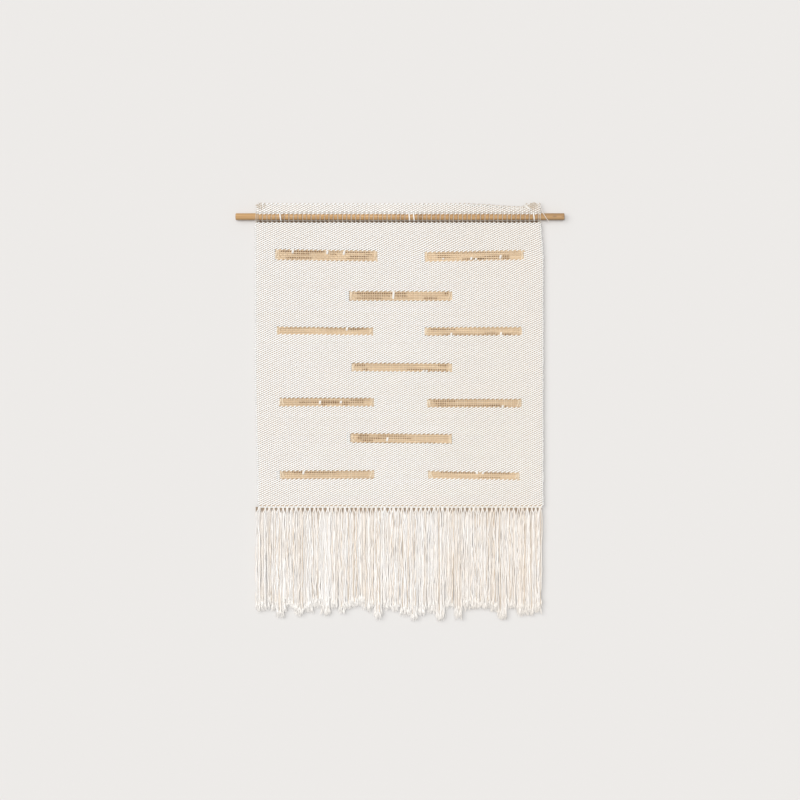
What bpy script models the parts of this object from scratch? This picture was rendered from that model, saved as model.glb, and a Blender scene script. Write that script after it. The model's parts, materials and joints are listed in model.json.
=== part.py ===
"""Woven wall hanging: a cotton cloth with straw inlay bars and a fringe, carried by a bamboo rod.

Metres, +Z up. The origin is the middle of the rod's axis. The cloth's front faces -Y and +X is on the right
of someone who looks at it. The cloth's warps pass in front of and behind the rod by turns, so the heading
slides along the rod. The panel hinges below the rod, and the tassels hinge under the twined row.
"""

import math
import random

import bmesh
import bpy
from mathutils import Vector

# Clearance between pieces that touch
FIT_GAP = 0.0003

# Cloth, as it leaves the rod
CLOTH_WIDTH = 0.5275
CLOTH_THICKNESS = 0.0045
SELVEDGE_DIAMETER = 0.0040

# Rod
ROD_DIAMETER = 0.0127
ROD_SIDES = 32
LEFT_STUB = 0.03755            # bare rod past the cloth's left edge
RIGHT_STUB = 0.04455

# Warps round the rod
WARP_COUNT = 64                # threads in front of the rod. One fewer pass behind it, between them
WARP_WIDTH = 0.0011
WARP_THICKNESS = 0.0010
WARP_STEPS = 4                 # straight stretches in the turn round the rod
WARP_TURN = math.radians(150)    # how far round the rod each warp goes
WARP_END_INSET = 0.0006        # how near to the cloth's middle plane a warp ends
RAIL_RISE = 0.0022             # top of the locking pick above the rod
WARP_DROP = 0.0020             # lower end of the warps below the rod
DOUBLED_WARPS = (5, 34, 35, 62)  # places, counted from the left, where a doubled thread crosses the rod
DOUBLED_WIDTH = 0.0032
DOUBLED_THICKNESS = 0.0016

# Heading above the rod: (share of the width, height of the top edge above the locking pick)
HEADING_STEPS = 24
HEADING_TOP = ((0.0, 0.0145), (0.12, 0.0158), (0.75, 0.0158), (0.90, 0.0100), (0.95, 0.0135), (1.0, 0.0145))

# Loose thread at the heading's right-hand corner: (right of the heading's end, in front of its face, height)
LOOSE_DIAMETER = 0.0011
LOOSE_ROUTE = ((-0.0020, 0.0000, 0.0228), (0.0008, 0.0012, 0.0168), (0.0026, 0.0031, 0.0104),
               (0.0052, 0.0046, 0.0050), (0.0082, 0.0051, 0.0002), (0.0118, 0.0046, -0.0052),
               (0.0158, 0.0030, -0.0100))
LOOSE_POINTS = 15

# Panel below the rod
PANEL_LENGTH = 0.5237
EDGE_STEPS = 8
TOP_ROUNDING = (75, 50, 25)      # degrees round the hinge where the top edge has a ring
PICK_COUNT = 268               # weft threads down the panel
LEFT_EDGE = ((0.0, 0.0), (0.5, 0.0), (1.0, -0.0050))      # (share of the length, how far out)
RIGHT_EDGE = ((0.0, 0.0), (0.125, 0.0043), (1.0, 0.0043))

# Straw inlays, as a weaver counts them: row, place, first and last warp (there are two for each front warp),
# first and last pick, and how many picks lower the right end lies than the left
INLAY_THICKNESS = 0.0050
INLAY_TAPER = 0.0060            # length of the thinner end
INLAY_END_HEIGHT = 0.84         # shares of the bar's height and thickness at its ends
INLAY_END_THICKNESS = 0.6
INLAYS = (
    (1, "left", 9, 54, 26, 36, 1.5),
    (1, "right", 75.5, 119.5, 27, 36.5, -2),
    (2, "centre", 42, 87.5, 65.5, 74, 0),
    (3, "left", 9.5, 52, 99.5, 106.5, 1),
    (3, "right", 75.5, 118.5, 99.5, 107, -0.5),
    (4, "centre", 43, 87.5, 134, 141.5, 0.5),
    (5, "left", 10.5, 52.5, 167, 174.5, 0),
    (5, "right", 76.5, 118.5, 168, 175.5, 0),
    (6, "centre", 42, 87, 201, 209, 1),
    (7, "left", 10, 52, 235.5, 243, -0.5),
    (7, "right", 76.5, 117.5, 237, 243.5, 1.5),
)

# Twined row and fringe
TWINE_HEIGHT = 0.0054
TWINE_THICKNESS = 0.0052
TWINE_SECTIONS = ((0.0, 0.8), (0.3, 1.0), (0.7, 1.0), (1.0, 0.8))     # (share of the height, of the thickness)
TASSEL_COUNT = 32
TASSELS_PER_SECTION = 4        # tassels that swing together
TASSEL_LENGTH = 0.190
TASSEL_SPREAD = 0.012          # most that a tassel is longer or shorter
TASSEL_HEAD = 0.0044           # thickness where the tassel turns
TASSEL_GAP = 0.0010            # between the heads of two tassels
TASSEL_SIDES = 8
TASSEL_HEAD_ROUNDING = (70, 35)  # degrees round the hinge where the head has a ring
TASSEL_SECTIONS = ((0.35, 0.80, 1.35), (0.88, 0.86, 1.50), (1.0, 0.55, 0.90))  # (share of length, width, head)
TASSEL_SEED = 7

# Fineness of the meshes
SHARP_ANGLE = math.radians(40)
TUBE_RESOLUTION = 2
HINGE_MARK = 0.02                # size of the mark that shows a joint's place

# Values that follow from the ones above
ROD_RADIUS = ROD_DIAMETER / 2
ROD_LENGTH = LEFT_STUB + CLOTH_WIDTH + RIGHT_STUB
CLOTH_LEFT = LEFT_STUB - ROD_LENGTH / 2
CLOTH_RIGHT = ROD_LENGTH / 2 - RIGHT_STUB
WARP_PITCH = CLOTH_WIDTH / WARP_COUNT
PICK_PITCH = PANEL_LENGTH / PICK_COUNT
RAIL_Z = ROD_RADIUS + RAIL_RISE
WARP_END_Z = -(ROD_RADIUS + WARP_DROP)
HEADING_Z = RAIL_Z + FIT_GAP
HINGE_Z = WARP_END_Z - FIT_GAP - CLOTH_THICKNESS / 2
PANEL_BOTTOM = HINGE_Z - PANEL_LENGTH
TWINE_TOP = PANEL_BOTTOM - FIT_GAP
FRINGE_Z = TWINE_TOP - TWINE_HEIGHT - FIT_GAP - TASSEL_HEAD / 2

# Colour and roughness of each finish
WOOD = ((0.60, 0.36, 0.16), 0.55)
COTTON = ((0.86, 0.82, 0.75), 0.95)
WARP_COTTON = ((0.80, 0.76, 0.68), 0.95)
STRAW = ((0.74, 0.52, 0.28), 0.70)
FRINGE_COTTON = ((0.87, 0.83, 0.76), 0.95)


def clear_scene():
    for obj in list(bpy.data.objects):
        bpy.data.objects.remove(obj, do_unlink=True)


def make_material(name, finish):
    colour, roughness = finish
    material = bpy.data.materials.new(name)
    material.use_nodes = True
    shader = material.node_tree.nodes["Principled BSDF"]
    shader.inputs["Base Color"].default_value = (*colour, 1.0)
    shader.inputs["Roughness"].default_value = roughness
    shader.inputs["Metallic"].default_value = 0.0
    return material


def add_object(name, data, parent, finish):
    """Links an object under its parent, with a material of its own."""
    data.materials.append(make_material(f"{name}_finish", finish))
    obj = bpy.data.objects.new(name, data)
    bpy.context.scene.collection.objects.link(obj)
    obj.parent = parent
    return obj


def add_empty(name, location, parent=None):
    """A joint's place: what hangs from it has its origin on the joint's axis."""
    empty = bpy.data.objects.new(name, None)
    empty.empty_display_size = HINGE_MARK
    empty.location = location
    empty.parent = parent
    bpy.context.scene.collection.objects.link(empty)
    return empty


def mesh_from(bm, name):
    bmesh.ops.recalc_face_normals(bm, faces=bm.faces)
    mesh = bpy.data.meshes.new(name)
    bm.to_mesh(mesh)
    bm.free()
    return mesh


def loft(name, rings):
    """A closed skin over rings of points, capped at both ends."""
    bm = bmesh.new()
    loops = [[bm.verts.new(point) for point in ring] for ring in rings]
    for near, far in zip(loops, loops[1:]):
        for i in range(len(near)):
            j = (i + 1) % len(near)
            bm.faces.new((near[i], near[j], far[j], far[i]))
    bm.faces.new(loops[0])
    bm.faces.new(loops[-1])
    return mesh_from(bm, name)


def box_ring_z(z, left, right, half):
    """A level ring for a slab that is lofted up or down."""
    return ((left, -half, z), (right, -half, z), (right, half, z), (left, half, z))


def box_ring_x(x, low, high, half):
    """An upright ring for a slab that is lofted along X."""
    return ((x, -half, low), (x, -half, high), (x, half, high), (x, half, low))


def read_stations(stations, share):
    """The value at a share of the way, eased between hand-set stations."""
    for (start, low), (end, high) in zip(stations, stations[1:]):
        if share <= end:
            t = (share - start) / (end - start)
            t = t * t * (3 - 2 * t)
            return low + (high - low) * t
    return stations[-1][1]


def cloth_edges(share):
    """X of the panel's left and right outer edges, at a share of its length below the hinge."""
    return CLOTH_LEFT - read_stations(LEFT_EDGE, share), CLOTH_RIGHT + read_stations(RIGHT_EDGE, share)


def edge_levels():
    """Height under the hinge, and the panel's left and right outer edges there."""
    shares = [step / EDGE_STEPS for step in range(EDGE_STEPS + 1)]
    return [(-share * PANEL_LENGTH, *cloth_edges(share)) for share in shares]


def make_rod():
    """The rod lies along X, with square-cut ends."""
    bm = bmesh.new()
    bmesh.ops.create_cone(bm, cap_ends=True, segments=ROD_SIDES, radius1=ROD_RADIUS, radius2=ROD_RADIUS,
                          depth=ROD_LENGTH)
    mesh = mesh_from(bm, "rod")
    mesh.shade_smooth()
    mesh.set_sharp_from_angle(angle=SHARP_ANGLE)
    rod = add_object("rod", mesh, None, WOOD)
    rod.rotation_euler = (0, math.radians(90), 0)


def make_heading(parent):
    """The woven strip above the locking pick. Its top edge droops near the right-hand corner."""
    half = CLOTH_THICKNESS / 2
    rings = []
    for step in range(HEADING_STEPS + 1):
        share = step / HEADING_STEPS
        x = CLOTH_LEFT + share * CLOTH_WIDTH
        top = HEADING_Z + read_stations(HEADING_TOP, share)
        rings.append(box_ring_x(x, HEADING_Z, top, half))
    add_object("heading_band", loft("heading_band", rings), parent, COTTON)


def warp_profile(thickness, start_at_rail):
    """Inner and outer (front, height) of a warp, from the locking pick round the rod's front to its lower end.

    The turn's corners stand out so that its straight stretches still clear the rod.
    """
    half_step = WARP_TURN / WARP_STEPS / 2
    inner = (ROD_RADIUS + FIT_GAP) / math.cos(half_step)
    outer = (ROD_RADIUS + FIT_GAP + thickness) / math.cos(half_step)
    turn = []
    for step in range(WARP_STEPS + 1):
        angle = WARP_TURN / 2 - step * 2 * half_step
        direction = (math.cos(angle), math.sin(angle))
        turn.append(tuple((radius * direction[0], radius * direction[1]) for radius in (inner, outer)))
    top = ((WARP_END_INSET, RAIL_Z), (WARP_END_INSET + thickness, RAIL_Z))
    end = ((WARP_END_INSET, WARP_END_Z), (WARP_END_INSET + thickness, WARP_END_Z))
    return ([top] if start_at_rail else []) + turn + [end]


def comb(name, columns, profile, filled, side):
    """A plate bent along the profile, solid where filled(column, row) says, and open elsewhere.

    columns are the X places of the cell borders. side is -1 in front of the rod and 1 behind it.
    """
    bm = bmesh.new()
    corners = {}

    def corner(column, row, layer):
        key = (column, row, layer)
        if key not in corners:
            out, height = profile[row][layer]
            corners[key] = bm.verts.new((columns[column], side * out, height))
        return corners[key]

    rows = len(profile) - 1
    cells = {(c, r) for c in range(len(columns) - 1) for r in range(rows) if filled(c, r)}
    for c, r in sorted(cells):
        for layer in (0, 1):
            bm.faces.new([corner(i, j, layer) for i, j in ((c, r), (c + 1, r), (c + 1, r + 1), (c, r + 1))])
        walls = (((c, r - 1), (c, r), (c + 1, r)), ((c, r + 1), (c, r + 1), (c + 1, r + 1)),
                 ((c - 1, r), (c, r), (c, r + 1)), ((c + 1, r), (c + 1, r), (c + 1, r + 1)))
        for neighbour, a, b in walls:
            if neighbour not in cells:
                bm.faces.new((corner(*a, 0), corner(*b, 0), corner(*b, 1), corner(*a, 1)))
    return mesh_from(bm, name)


def make_warps(parent):
    """Front and rear warps, each hanging from its locking pick, and the doubled threads between them."""
    front = [CLOTH_LEFT + (k + 0.5) * WARP_PITCH for k in range(WARP_COUNT)]
    single = [x for k, x in enumerate(front) if k not in DOUBLED_WARPS]
    rear = [CLOTH_LEFT + k * WARP_PITCH for k in range(1, WARP_COUNT)]
    profile = warp_profile(WARP_THICKNESS, True)
    rail_row = 0
    for name, places, side in (("front_warps", single, -1), ("rear_warps", rear, 1)):
        columns = [CLOTH_LEFT]
        for x in places:
            columns += [x - WARP_WIDTH / 2, x + WARP_WIDTH / 2]
        columns.append(CLOTH_RIGHT)
        mesh = comb(name, columns, profile, lambda c, r: r == rail_row or c % 2 == 1, side)
        add_object(name, mesh, parent, WARP_COTTON)

    profile = warp_profile(DOUBLED_THICKNESS, False)
    for number, place in enumerate(DOUBLED_WARPS, 1):
        x = front[place]
        name = f"doubled_warp_{number}"
        columns = (x - DOUBLED_WIDTH / 2, x + DOUBLED_WIDTH / 2)
        add_object(name, comb(name, columns, profile, lambda c, r: True, -1), parent, WARP_COTTON)


def smooth_route(stations, count):
    """Evenly shared points on a curve that runs smoothly through the stations."""
    points = [Vector(p) for p in stations]
    ends = [2 * points[0] - points[1]] + points + [2 * points[-1] - points[-2]]
    route = []
    for i in range(count):
        position = i * (len(points) - 1) / (count - 1)
        k = min(int(position), len(points) - 2)
        t = position - k
        a, b, c, d = ends[k:k + 4]
        route.append(0.5 * (2 * b + (c - a) * t + (2 * a - 5 * b + 4 * c - d) * t ** 2
                            + (3 * b - a - 3 * c + d) * t ** 3))
    return route


def tube(name, points, diameter, parent, finish):
    """A round cord along the points, with closed ends."""
    curve = bpy.data.curves.new(name, "CURVE")
    curve.dimensions = "3D"
    curve.bevel_depth = diameter / 2
    curve.bevel_resolution = TUBE_RESOLUTION
    curve.use_fill_caps = True
    spline = curve.splines.new("POLY")
    spline.points.add(len(points) - 1)
    for slot, point in zip(spline.points, points):
        slot.co = (*point, 1.0)
    return add_object(name, curve, parent, finish)


def make_loose_thread(parent):
    """The stray yarn end at the heading's right-hand corner, which falls in front of the rod."""
    face = -(CLOTH_THICKNESS / 2 + FIT_GAP + LOOSE_DIAMETER / 2)
    stations = [(CLOTH_RIGHT + x, face - out, z) for x, out, z in LOOSE_ROUTE]
    tube("loose_thread", smooth_route(stations, LOOSE_POINTS), LOOSE_DIAMETER, parent, WARP_COTTON)


def make_panel(parent):
    """The woven cloth. Its top edge is round about the hinge, and each inlay has a slot through it."""
    half = CLOTH_THICKNESS / 2
    inset = SELVEDGE_DIAMETER + FIT_GAP
    levels = edge_levels()
    left = levels[0][1] + inset
    right = levels[0][2] - inset
    rings = []
    for angle in map(math.radians, TOP_ROUNDING):
        rings.append(box_ring_z(half * math.sin(angle), left, right, half * math.cos(angle)))
    for z, outer_left, outer_right in levels:
        rings.append(box_ring_z(z, outer_left + inset, outer_right - inset, half))
    panel = add_object("woven_panel", loft("woven_panel", rings), parent, COTTON)

    slots = bpy.data.objects.new("inlay_slots", slot_mesh())
    bpy.context.scene.collection.objects.link(slots)
    slots.parent = parent
    slots.hide_render = True
    slots.display_type = "WIRE"
    cut = panel.modifiers.new("inlay_slots", "BOOLEAN")
    cut.operation = "DIFFERENCE"
    cut.solver = "EXACT"
    cut.object = slots


def inlay_box(inlay):
    """Ends, middle height below the hinge, height and drop of an inlay, from its warps and picks."""
    _, _, first_warp, last_warp, first_pick, last_pick, drop = inlay
    left, right = cloth_edges((first_pick + last_pick) / 2 / PICK_COUNT)
    thread = (right - left) / (2 * WARP_COUNT)
    middle = -(first_pick + last_pick) / 2 * PICK_PITCH
    height = (last_pick - first_pick) * PICK_PITCH
    return left + first_warp * thread, left + last_warp * thread, middle, height, drop * PICK_PITCH


def inlay_ring(x, box, height, half):
    """An upright ring of an inlay, whose middle line drops from left to right."""
    start, end, middle, _, drop = box
    middle -= drop * ((x - start) / (end - start) - 0.5)
    return box_ring_x(x, middle - height / 2, middle + height / 2, half)


def slot_mesh():
    """One closed cutter for each inlay, a clearance larger all round."""
    bm = bmesh.new()
    for inlay in INLAYS:
        box = inlay_box(inlay)
        start, end, _, height, _ = box
        ends = (start - FIT_GAP, end + FIT_GAP)
        rings = [inlay_ring(x, box, height + 2 * FIT_GAP, CLOTH_THICKNESS) for x in ends]
        near, far = ([bm.verts.new(point) for point in ring] for ring in rings)
        for i in range(4):
            j = (i + 1) % 4
            bm.faces.new((near[i], near[j], far[j], far[i]))
        bm.faces.new(near)
        bm.faces.new(far)
    return mesh_from(bm, "inlay_slots")


def make_inlays(parent):
    """The straw bars, a little thicker than the cloth and thinner towards their ends."""
    for inlay in INLAYS:
        box = inlay_box(inlay)
        start, end, _, height, _ = box
        half = INLAY_THICKNESS / 2
        thin_end = (INLAY_END_HEIGHT, INLAY_END_THICKNESS)
        sections = ((start, *thin_end), (start + INLAY_TAPER, 1.0, 1.0),
                    (end - INLAY_TAPER, 1.0, 1.0), (end, *thin_end))
        rings = [inlay_ring(x, box, height * tall, half * thick) for x, tall, thick in sections]
        name = f"inlay_row{inlay[0]}_{inlay[1]}"
        add_object(name, loft(name, rings), parent, STRAW)


def make_selvedges(parent):
    """The cords along both edges of the panel."""
    for name, index, inward in (("selvedge_left", 1, 1), ("selvedge_right", 2, -1)):
        points = [(level[index] + inward * SELVEDGE_DIAMETER / 2, 0, level[0]) for level in edge_levels()]
        tube(name, points, SELVEDGE_DIAMETER, parent, COTTON)


def make_twined_row(parent):
    """The row of hitches under the last pick."""
    _, left, right = edge_levels()[-1]
    top = TWINE_TOP - HINGE_Z
    half = TWINE_THICKNESS / 2
    rings = [box_ring_z(top - share * TWINE_HEIGHT, left, right, half * thick)
             for share, thick in TWINE_SECTIONS]
    add_object("twined_row", loft("twined_row", rings), parent, COTTON)


def tassel_rings(width, length):
    """Level rings about the hinge line: a round head, a drawn-in middle and a frayed end."""
    head = TASSEL_HEAD / 2
    half = width / 2
    stations = [(head * math.sin(angle), half, head * math.cos(angle))
                for angle in map(math.radians, TASSEL_HEAD_ROUNDING)]
    stations.append((0.0, half, head))
    stations += [(-share * length, wide * half, deep * head) for share, wide, deep in TASSEL_SECTIONS]
    rings = []
    for z, wide, deep in stations:
        ring = []
        for i in range(TASSEL_SIDES):
            angle = 2 * math.pi * (i + 0.5) / TASSEL_SIDES
            ring.append((wide * math.cos(angle) / math.cos(math.pi / TASSEL_SIDES),
                         deep * math.sin(angle) / math.cos(math.pi / TASSEL_SIDES), z))
        rings.append(ring)
    return rings


def make_fringe(parent):
    """Tassels under the twined row. Each section of them turns about the same line."""
    rng = random.Random(TASSEL_SEED)
    _, left, right = edge_levels()[-1]
    pitch = (right - left) / TASSEL_COUNT
    hinge = None
    for number in range(TASSEL_COUNT):
        if number % TASSELS_PER_SECTION == 0:
            middle = left + (number + TASSELS_PER_SECTION / 2) * pitch
            section = number // TASSELS_PER_SECTION + 1
            hinge = add_empty(f"fringe_{section}_hinge", (middle, 0, FRINGE_Z - HINGE_Z), parent)
        x = left + (number + 0.5) * pitch
        length = TASSEL_LENGTH + rng.uniform(-TASSEL_SPREAD, TASSEL_SPREAD)
        name = f"tassel_{number + 1:02d}"
        mesh = loft(name, tassel_rings(pitch - TASSEL_GAP, length))
        mesh.shade_smooth()
        tassel = add_object(name, mesh, hinge, FRINGE_COTTON)
        tassel.location = (x - hinge.location.x, 0, 0)


def main():
    clear_scene()
    make_rod()
    heading_slide = add_empty("heading_slide", (0, 0, 0))
    make_heading(heading_slide)
    make_warps(heading_slide)
    make_loose_thread(heading_slide)
    panel_hinge = add_empty("panel_hinge", (0, 0, HINGE_Z), heading_slide)
    make_panel(panel_hinge)
    make_inlays(panel_hinge)
    make_selvedges(panel_hinge)
    make_twined_row(panel_hinge)
    make_fringe(panel_hinge)
    bpy.context.view_layer.update()


main()
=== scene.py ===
import json
import math
import random

import bmesh
import bpy
import numpy as np
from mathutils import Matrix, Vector, noise


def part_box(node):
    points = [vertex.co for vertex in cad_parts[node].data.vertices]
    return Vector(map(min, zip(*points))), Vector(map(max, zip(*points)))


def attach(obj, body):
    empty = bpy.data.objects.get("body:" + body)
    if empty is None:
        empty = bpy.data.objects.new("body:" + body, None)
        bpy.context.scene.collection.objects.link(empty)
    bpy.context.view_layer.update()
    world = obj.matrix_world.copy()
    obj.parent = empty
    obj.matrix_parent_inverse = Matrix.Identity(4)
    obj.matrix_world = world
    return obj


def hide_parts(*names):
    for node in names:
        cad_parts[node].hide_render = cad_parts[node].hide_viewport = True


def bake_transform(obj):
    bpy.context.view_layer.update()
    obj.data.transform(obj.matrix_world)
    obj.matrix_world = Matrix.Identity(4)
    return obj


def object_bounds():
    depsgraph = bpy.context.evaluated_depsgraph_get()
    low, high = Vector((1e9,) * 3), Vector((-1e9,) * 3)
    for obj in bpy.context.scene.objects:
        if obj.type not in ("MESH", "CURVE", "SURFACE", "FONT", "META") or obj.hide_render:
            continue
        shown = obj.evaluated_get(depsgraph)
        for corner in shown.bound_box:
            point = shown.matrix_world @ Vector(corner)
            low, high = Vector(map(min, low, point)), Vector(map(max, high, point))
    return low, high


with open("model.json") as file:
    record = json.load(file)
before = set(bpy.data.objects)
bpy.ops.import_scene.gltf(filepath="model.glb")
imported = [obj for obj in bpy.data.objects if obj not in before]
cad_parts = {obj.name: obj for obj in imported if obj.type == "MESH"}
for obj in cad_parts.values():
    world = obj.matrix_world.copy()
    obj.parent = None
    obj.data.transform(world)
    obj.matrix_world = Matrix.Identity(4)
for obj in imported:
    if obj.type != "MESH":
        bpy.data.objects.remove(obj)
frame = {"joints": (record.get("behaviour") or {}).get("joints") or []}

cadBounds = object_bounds()

# Places that everything below is worked out from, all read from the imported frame
rodLow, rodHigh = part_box("rod")
headingLow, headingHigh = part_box("heading_band")
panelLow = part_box("woven_panel")[0]
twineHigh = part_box("twined_row")[1]
jointPlace = {joint["name"]: joint.get("pos_m") for joint in frame["joints"]}

rodRadius = (rodHigh.z - rodLow.z) / 2
hingeZ = jointPlace["panel_swing"][2]
clothLeft = headingLow.x
clothRight = headingHigh.x
clothWidth = clothRight - clothLeft
panelLength = hingeZ - panelLow.z

cloth = {
    "warps": 128,             # spaces between the warps across the cloth
    "picks": 268,             # weft threads down the panel
    "face": 0.00225,          # how far its front stands from its middle
    "leftIn": 0.0050,         # how far the left edge draws in below the middle
    "leftFrom": 0.5,
    "rightOut": 0.0043,       # how far the right edge steps out a little below the rod
    "rightFrom": 0.125,
    "bendAbove": 0.003,       # where the cloth bends, above and below the panel's hinge
    "bendBelow": 0.007,
}
warpPitch = clothWidth / cloth["warps"]


def smoothShare(value, start, end):
    t = np.clip((value - start) / (end - start), 0.0, 1.0)
    return t * t * (3 - 2 * t)


def clothEdges(z):            # left and right edge of the panel at a height
    share = (hingeZ - z) / panelLength
    left = clothLeft + cloth["leftIn"] * smoothShare(share, cloth["leftFrom"], 1.0)
    right = clothRight + cloth["rightOut"] * smoothShare(share, 0.0, cloth["rightFrom"])
    return left, right


def warpX(number, z):         # X of a warp, counted from the left edge
    left, right = clothEdges(z)
    return left + (right - left) * number / cloth["warps"]


def waver(a, b=0.0, c=0.0):   # smooth noise between -1 and 1
    return noise.noise(Vector((a, b, c)))


def along(steps, place):      # what a function gives at even steps from 0 to 1
    return [place(i / steps) for i in range(steps + 1)]


def addObject(name, data):
    made = bpy.data.objects.new(name, data)
    bpy.context.scene.collection.objects.link(made)
    return made


def addMesh(name, bm):
    mesh = bpy.data.meshes.new(name)
    bm.to_mesh(mesh)
    bm.free()
    return addObject(name, mesh)


def settle(piece, slot, body, *nodes):        # colour slot (not used), moving body, CAD nodes it stands for
    if body == "bend":        # baked in place where the cloth bends under the rod, on no moving body
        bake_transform(piece)
    else:
        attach(piece, body)
    if nodes:
        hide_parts(*nodes)
    return piece


# ---- camera

view = {"lens": 100.0, "sensor": 36.0, "frameWidth": 1.484, "lookZ": -0.3402}


def makeCamera():
    data = bpy.data.cameras.new("camera")
    data.lens = view["lens"]
    data.sensor_width = view["sensor"]
    camera = addObject("camera", data)
    camera.location = (0.0, -view["frameWidth"] * view["lens"] / view["sensor"], view["lookZ"])
    camera.rotation_euler = (math.radians(90), 0, 0)
    bpy.context.scene.camera = camera


makeCamera()


# ---- node helpers

def feed(tree, socket, source):
    if isinstance(source, bpy.types.NodeSocket):
        tree.links.new(source, socket)
    else:
        socket.default_value = source


def addNode(tree, kind, inputs=None, **settings):
    node = tree.nodes.new(kind)
    for key, value in settings.items():
        setattr(node, key, value)
    for name, source in (inputs or {}).items():
        feed(tree, node.inputs[name], source)
    return node


def calc(tree, operation, *values):
    node = tree.nodes.new("ShaderNodeMath")
    node.operation = operation
    for socket, value in zip(node.inputs, values):
        feed(tree, socket, value)
    return node.outputs[0]


def plus(tree, a, b):
    return calc(tree, "ADD", a, b)


def minus(tree, a, b):
    return calc(tree, "SUBTRACT", a, b)


def times(tree, a, b):
    return calc(tree, "MULTIPLY", a, b)


def eased(tree, value, fromMin, fromMax, toMin=0.0, toMax=1.0):
    return addNode(tree, "ShaderNodeMapRange", {
        "Value": value, "From Min": fromMin, "From Max": fromMax, "To Min": toMin, "To Max": toMax},
        interpolation_type="SMOOTHSTEP").outputs[0]


def cloudNode(tree, place, scale, detail):
    return addNode(tree, "ShaderNodeTexNoise", {"Vector": place, "Scale": scale, "Detail": detail}).outputs


def splitVector(tree, vector):
    return addNode(tree, "ShaderNodeSeparateXYZ", {"Vector": vector}).outputs


def joinVector(tree, x, y, z):
    return addNode(tree, "ShaderNodeCombineXYZ", {"X": x, "Y": y, "Z": z}).outputs[0]


def startTree(name, kind, inputs, outputs):
    tree = bpy.data.node_groups.new(name, kind)
    for label, socketKind in outputs.items():
        tree.interface.new_socket(label, in_out="OUTPUT", socket_type="NodeSocket" + socketKind)
    for label, (socketKind, value) in inputs.items():
        socket = tree.interface.new_socket(label, in_out="INPUT", socket_type="NodeSocket" + socketKind)
        if value is not None:
            socket.default_value = value
    return tree, tree.nodes.new("NodeGroupInput").outputs, tree.nodes.new("NodeGroupOutput").inputs


def endTree(tree, outs, geometry, material):
    real = addNode(tree, "GeometryNodeRealizeInstances", {"Geometry": geometry}).outputs[0]
    painted = addNode(tree, "GeometryNodeSetMaterial", {"Geometry": real, "Material": material}).outputs[0]
    tree.links.new(painted, outs["Geometry"])


def keep(tree, geometry, name, value):
    node = addNode(tree, "GeometryNodeStoreNamedAttribute", {
        "Geometry": geometry, "Name": name, "Value": value}, data_type="FLOAT", domain="POINT")
    return node.outputs["Geometry"]


def recall(tree, name):
    node = addNode(tree, "GeometryNodeInputNamedAttribute", {"Name": name}, data_type="FLOAT")
    return node.outputs["Attribute"]


def spunTubes(tree, strands, halfDepth, halfHeight, sides, normalMode):     # yarns with an oval section
    strands = addNode(tree, "GeometryNodeSetCurveNormal", {"Curve": strands}, mode=normalMode)
    if normalMode == "FREE":
        strands.inputs["Normal"].default_value = (0.0, 1.0, 0.0)
    ring = addNode(tree, "GeometryNodeCurvePrimitiveCircle", {"Resolution": sides, "Radius": 1.0}).outputs[0]
    ring = addNode(tree, "GeometryNodeTransform", {
        "Geometry": ring, "Scale": joinVector(tree, halfDepth, halfHeight, 1.0)}).outputs[0]
    return addNode(tree, "GeometryNodeCurveToMesh", {
        "Curve": strands.outputs[0], "Profile Curve": ring, "Fill Caps": True,
        "Scale": recall(tree, "girth")}).outputs[0]


def growMesh(name, tree, values, start=None):     # runs a tree once and keeps only its plain mesh
    piece = addObject(name, start or bpy.data.meshes.new(name))
    modifier = piece.modifiers.new("grow", "NODES")
    modifier.node_group = tree
    for item in tree.interface.items_tree:
        if item.item_type == "SOCKET" and item.in_out == "INPUT" and item.name in values:
            modifier[item.identifier] = values[item.name]
    graph = bpy.context.evaluated_depsgraph_get()
    plain = bpy.data.meshes.new_from_object(
        piece.evaluated_get(graph), preserve_all_data_layers=True, depsgraph=graph)
    piece.modifiers.remove(modifier)
    piece.data = plain
    plain.name = name
    plain.shade_smooth()
    return piece


def pathTree(name, normalMode):       # turns the lines it is given into yarns, ribbons or hairs
    tree, ins, outs = startTree(name, "GeometryNodeTree", {
        "Geometry": ("Geometry", None), "Half Depth": ("Float", 0.0005), "Half Height": ("Float", 0.0005),
        "Sides": ("Int", 6), "Material": ("Material", None)}, {"Geometry": "Geometry"})
    strands = addNode(tree, "GeometryNodeMeshToCurve", {"Mesh": ins["Geometry"]}).outputs[0]
    tubes = spunTubes(tree, strands, ins["Half Depth"], ins["Half Height"], ins["Sides"], normalMode)
    endTree(tree, outs, tubes, ins["Material"])
    return tree


pathTrees = {"flat": pathTree("yarnsOnPaths", "FREE"), "turning": pathTree("yarnsRoundTurns", "Z_UP"),
             "round": pathTree("strandsOnPaths", "MINIMUM_TWIST")}


def makeYarns(name, yarns, section, material, sides=6, way="flat"):   # section: half its depth and height
    places, lines, marks = [], [], {"girth": [], "tone": [], "lift": []}
    for yarn in yarns:
        first, count = len(places), len(yarn["points"])
        places.extend(yarn["points"])
        lines.extend((first + i, first + i + 1) for i in range(count - 1))
        for mark, values in marks.items():
            values.append(np.broadcast_to(yarn.get(mark, 1.0), count))
    mesh = bpy.data.meshes.new(name)
    mesh.from_pydata(places, lines, [])
    for mark, values in marks.items():
        layer = mesh.attributes.new(mark, "FLOAT", "POINT")
        layer.data.foreach_set("value", np.concatenate(values).astype(np.float32))
    return growMesh(name, pathTrees[way], {
        "Half Depth": section[0], "Half Height": section[1], "Sides": sides, "Material": material}, mesh)


def readPlaces(piece):
    places = np.empty(len(piece.data.vertices) * 3)
    piece.data.vertices.foreach_get("co", places)
    return places.reshape(-1, 3)


def readMark(piece, name):
    values = np.empty(len(piece.data.vertices))
    piece.data.attributes[name].data.foreach_get("value", values)
    return values


def writeMark(piece, name, values):
    piece.data.attributes[name].data.foreach_set("value", values)


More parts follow.
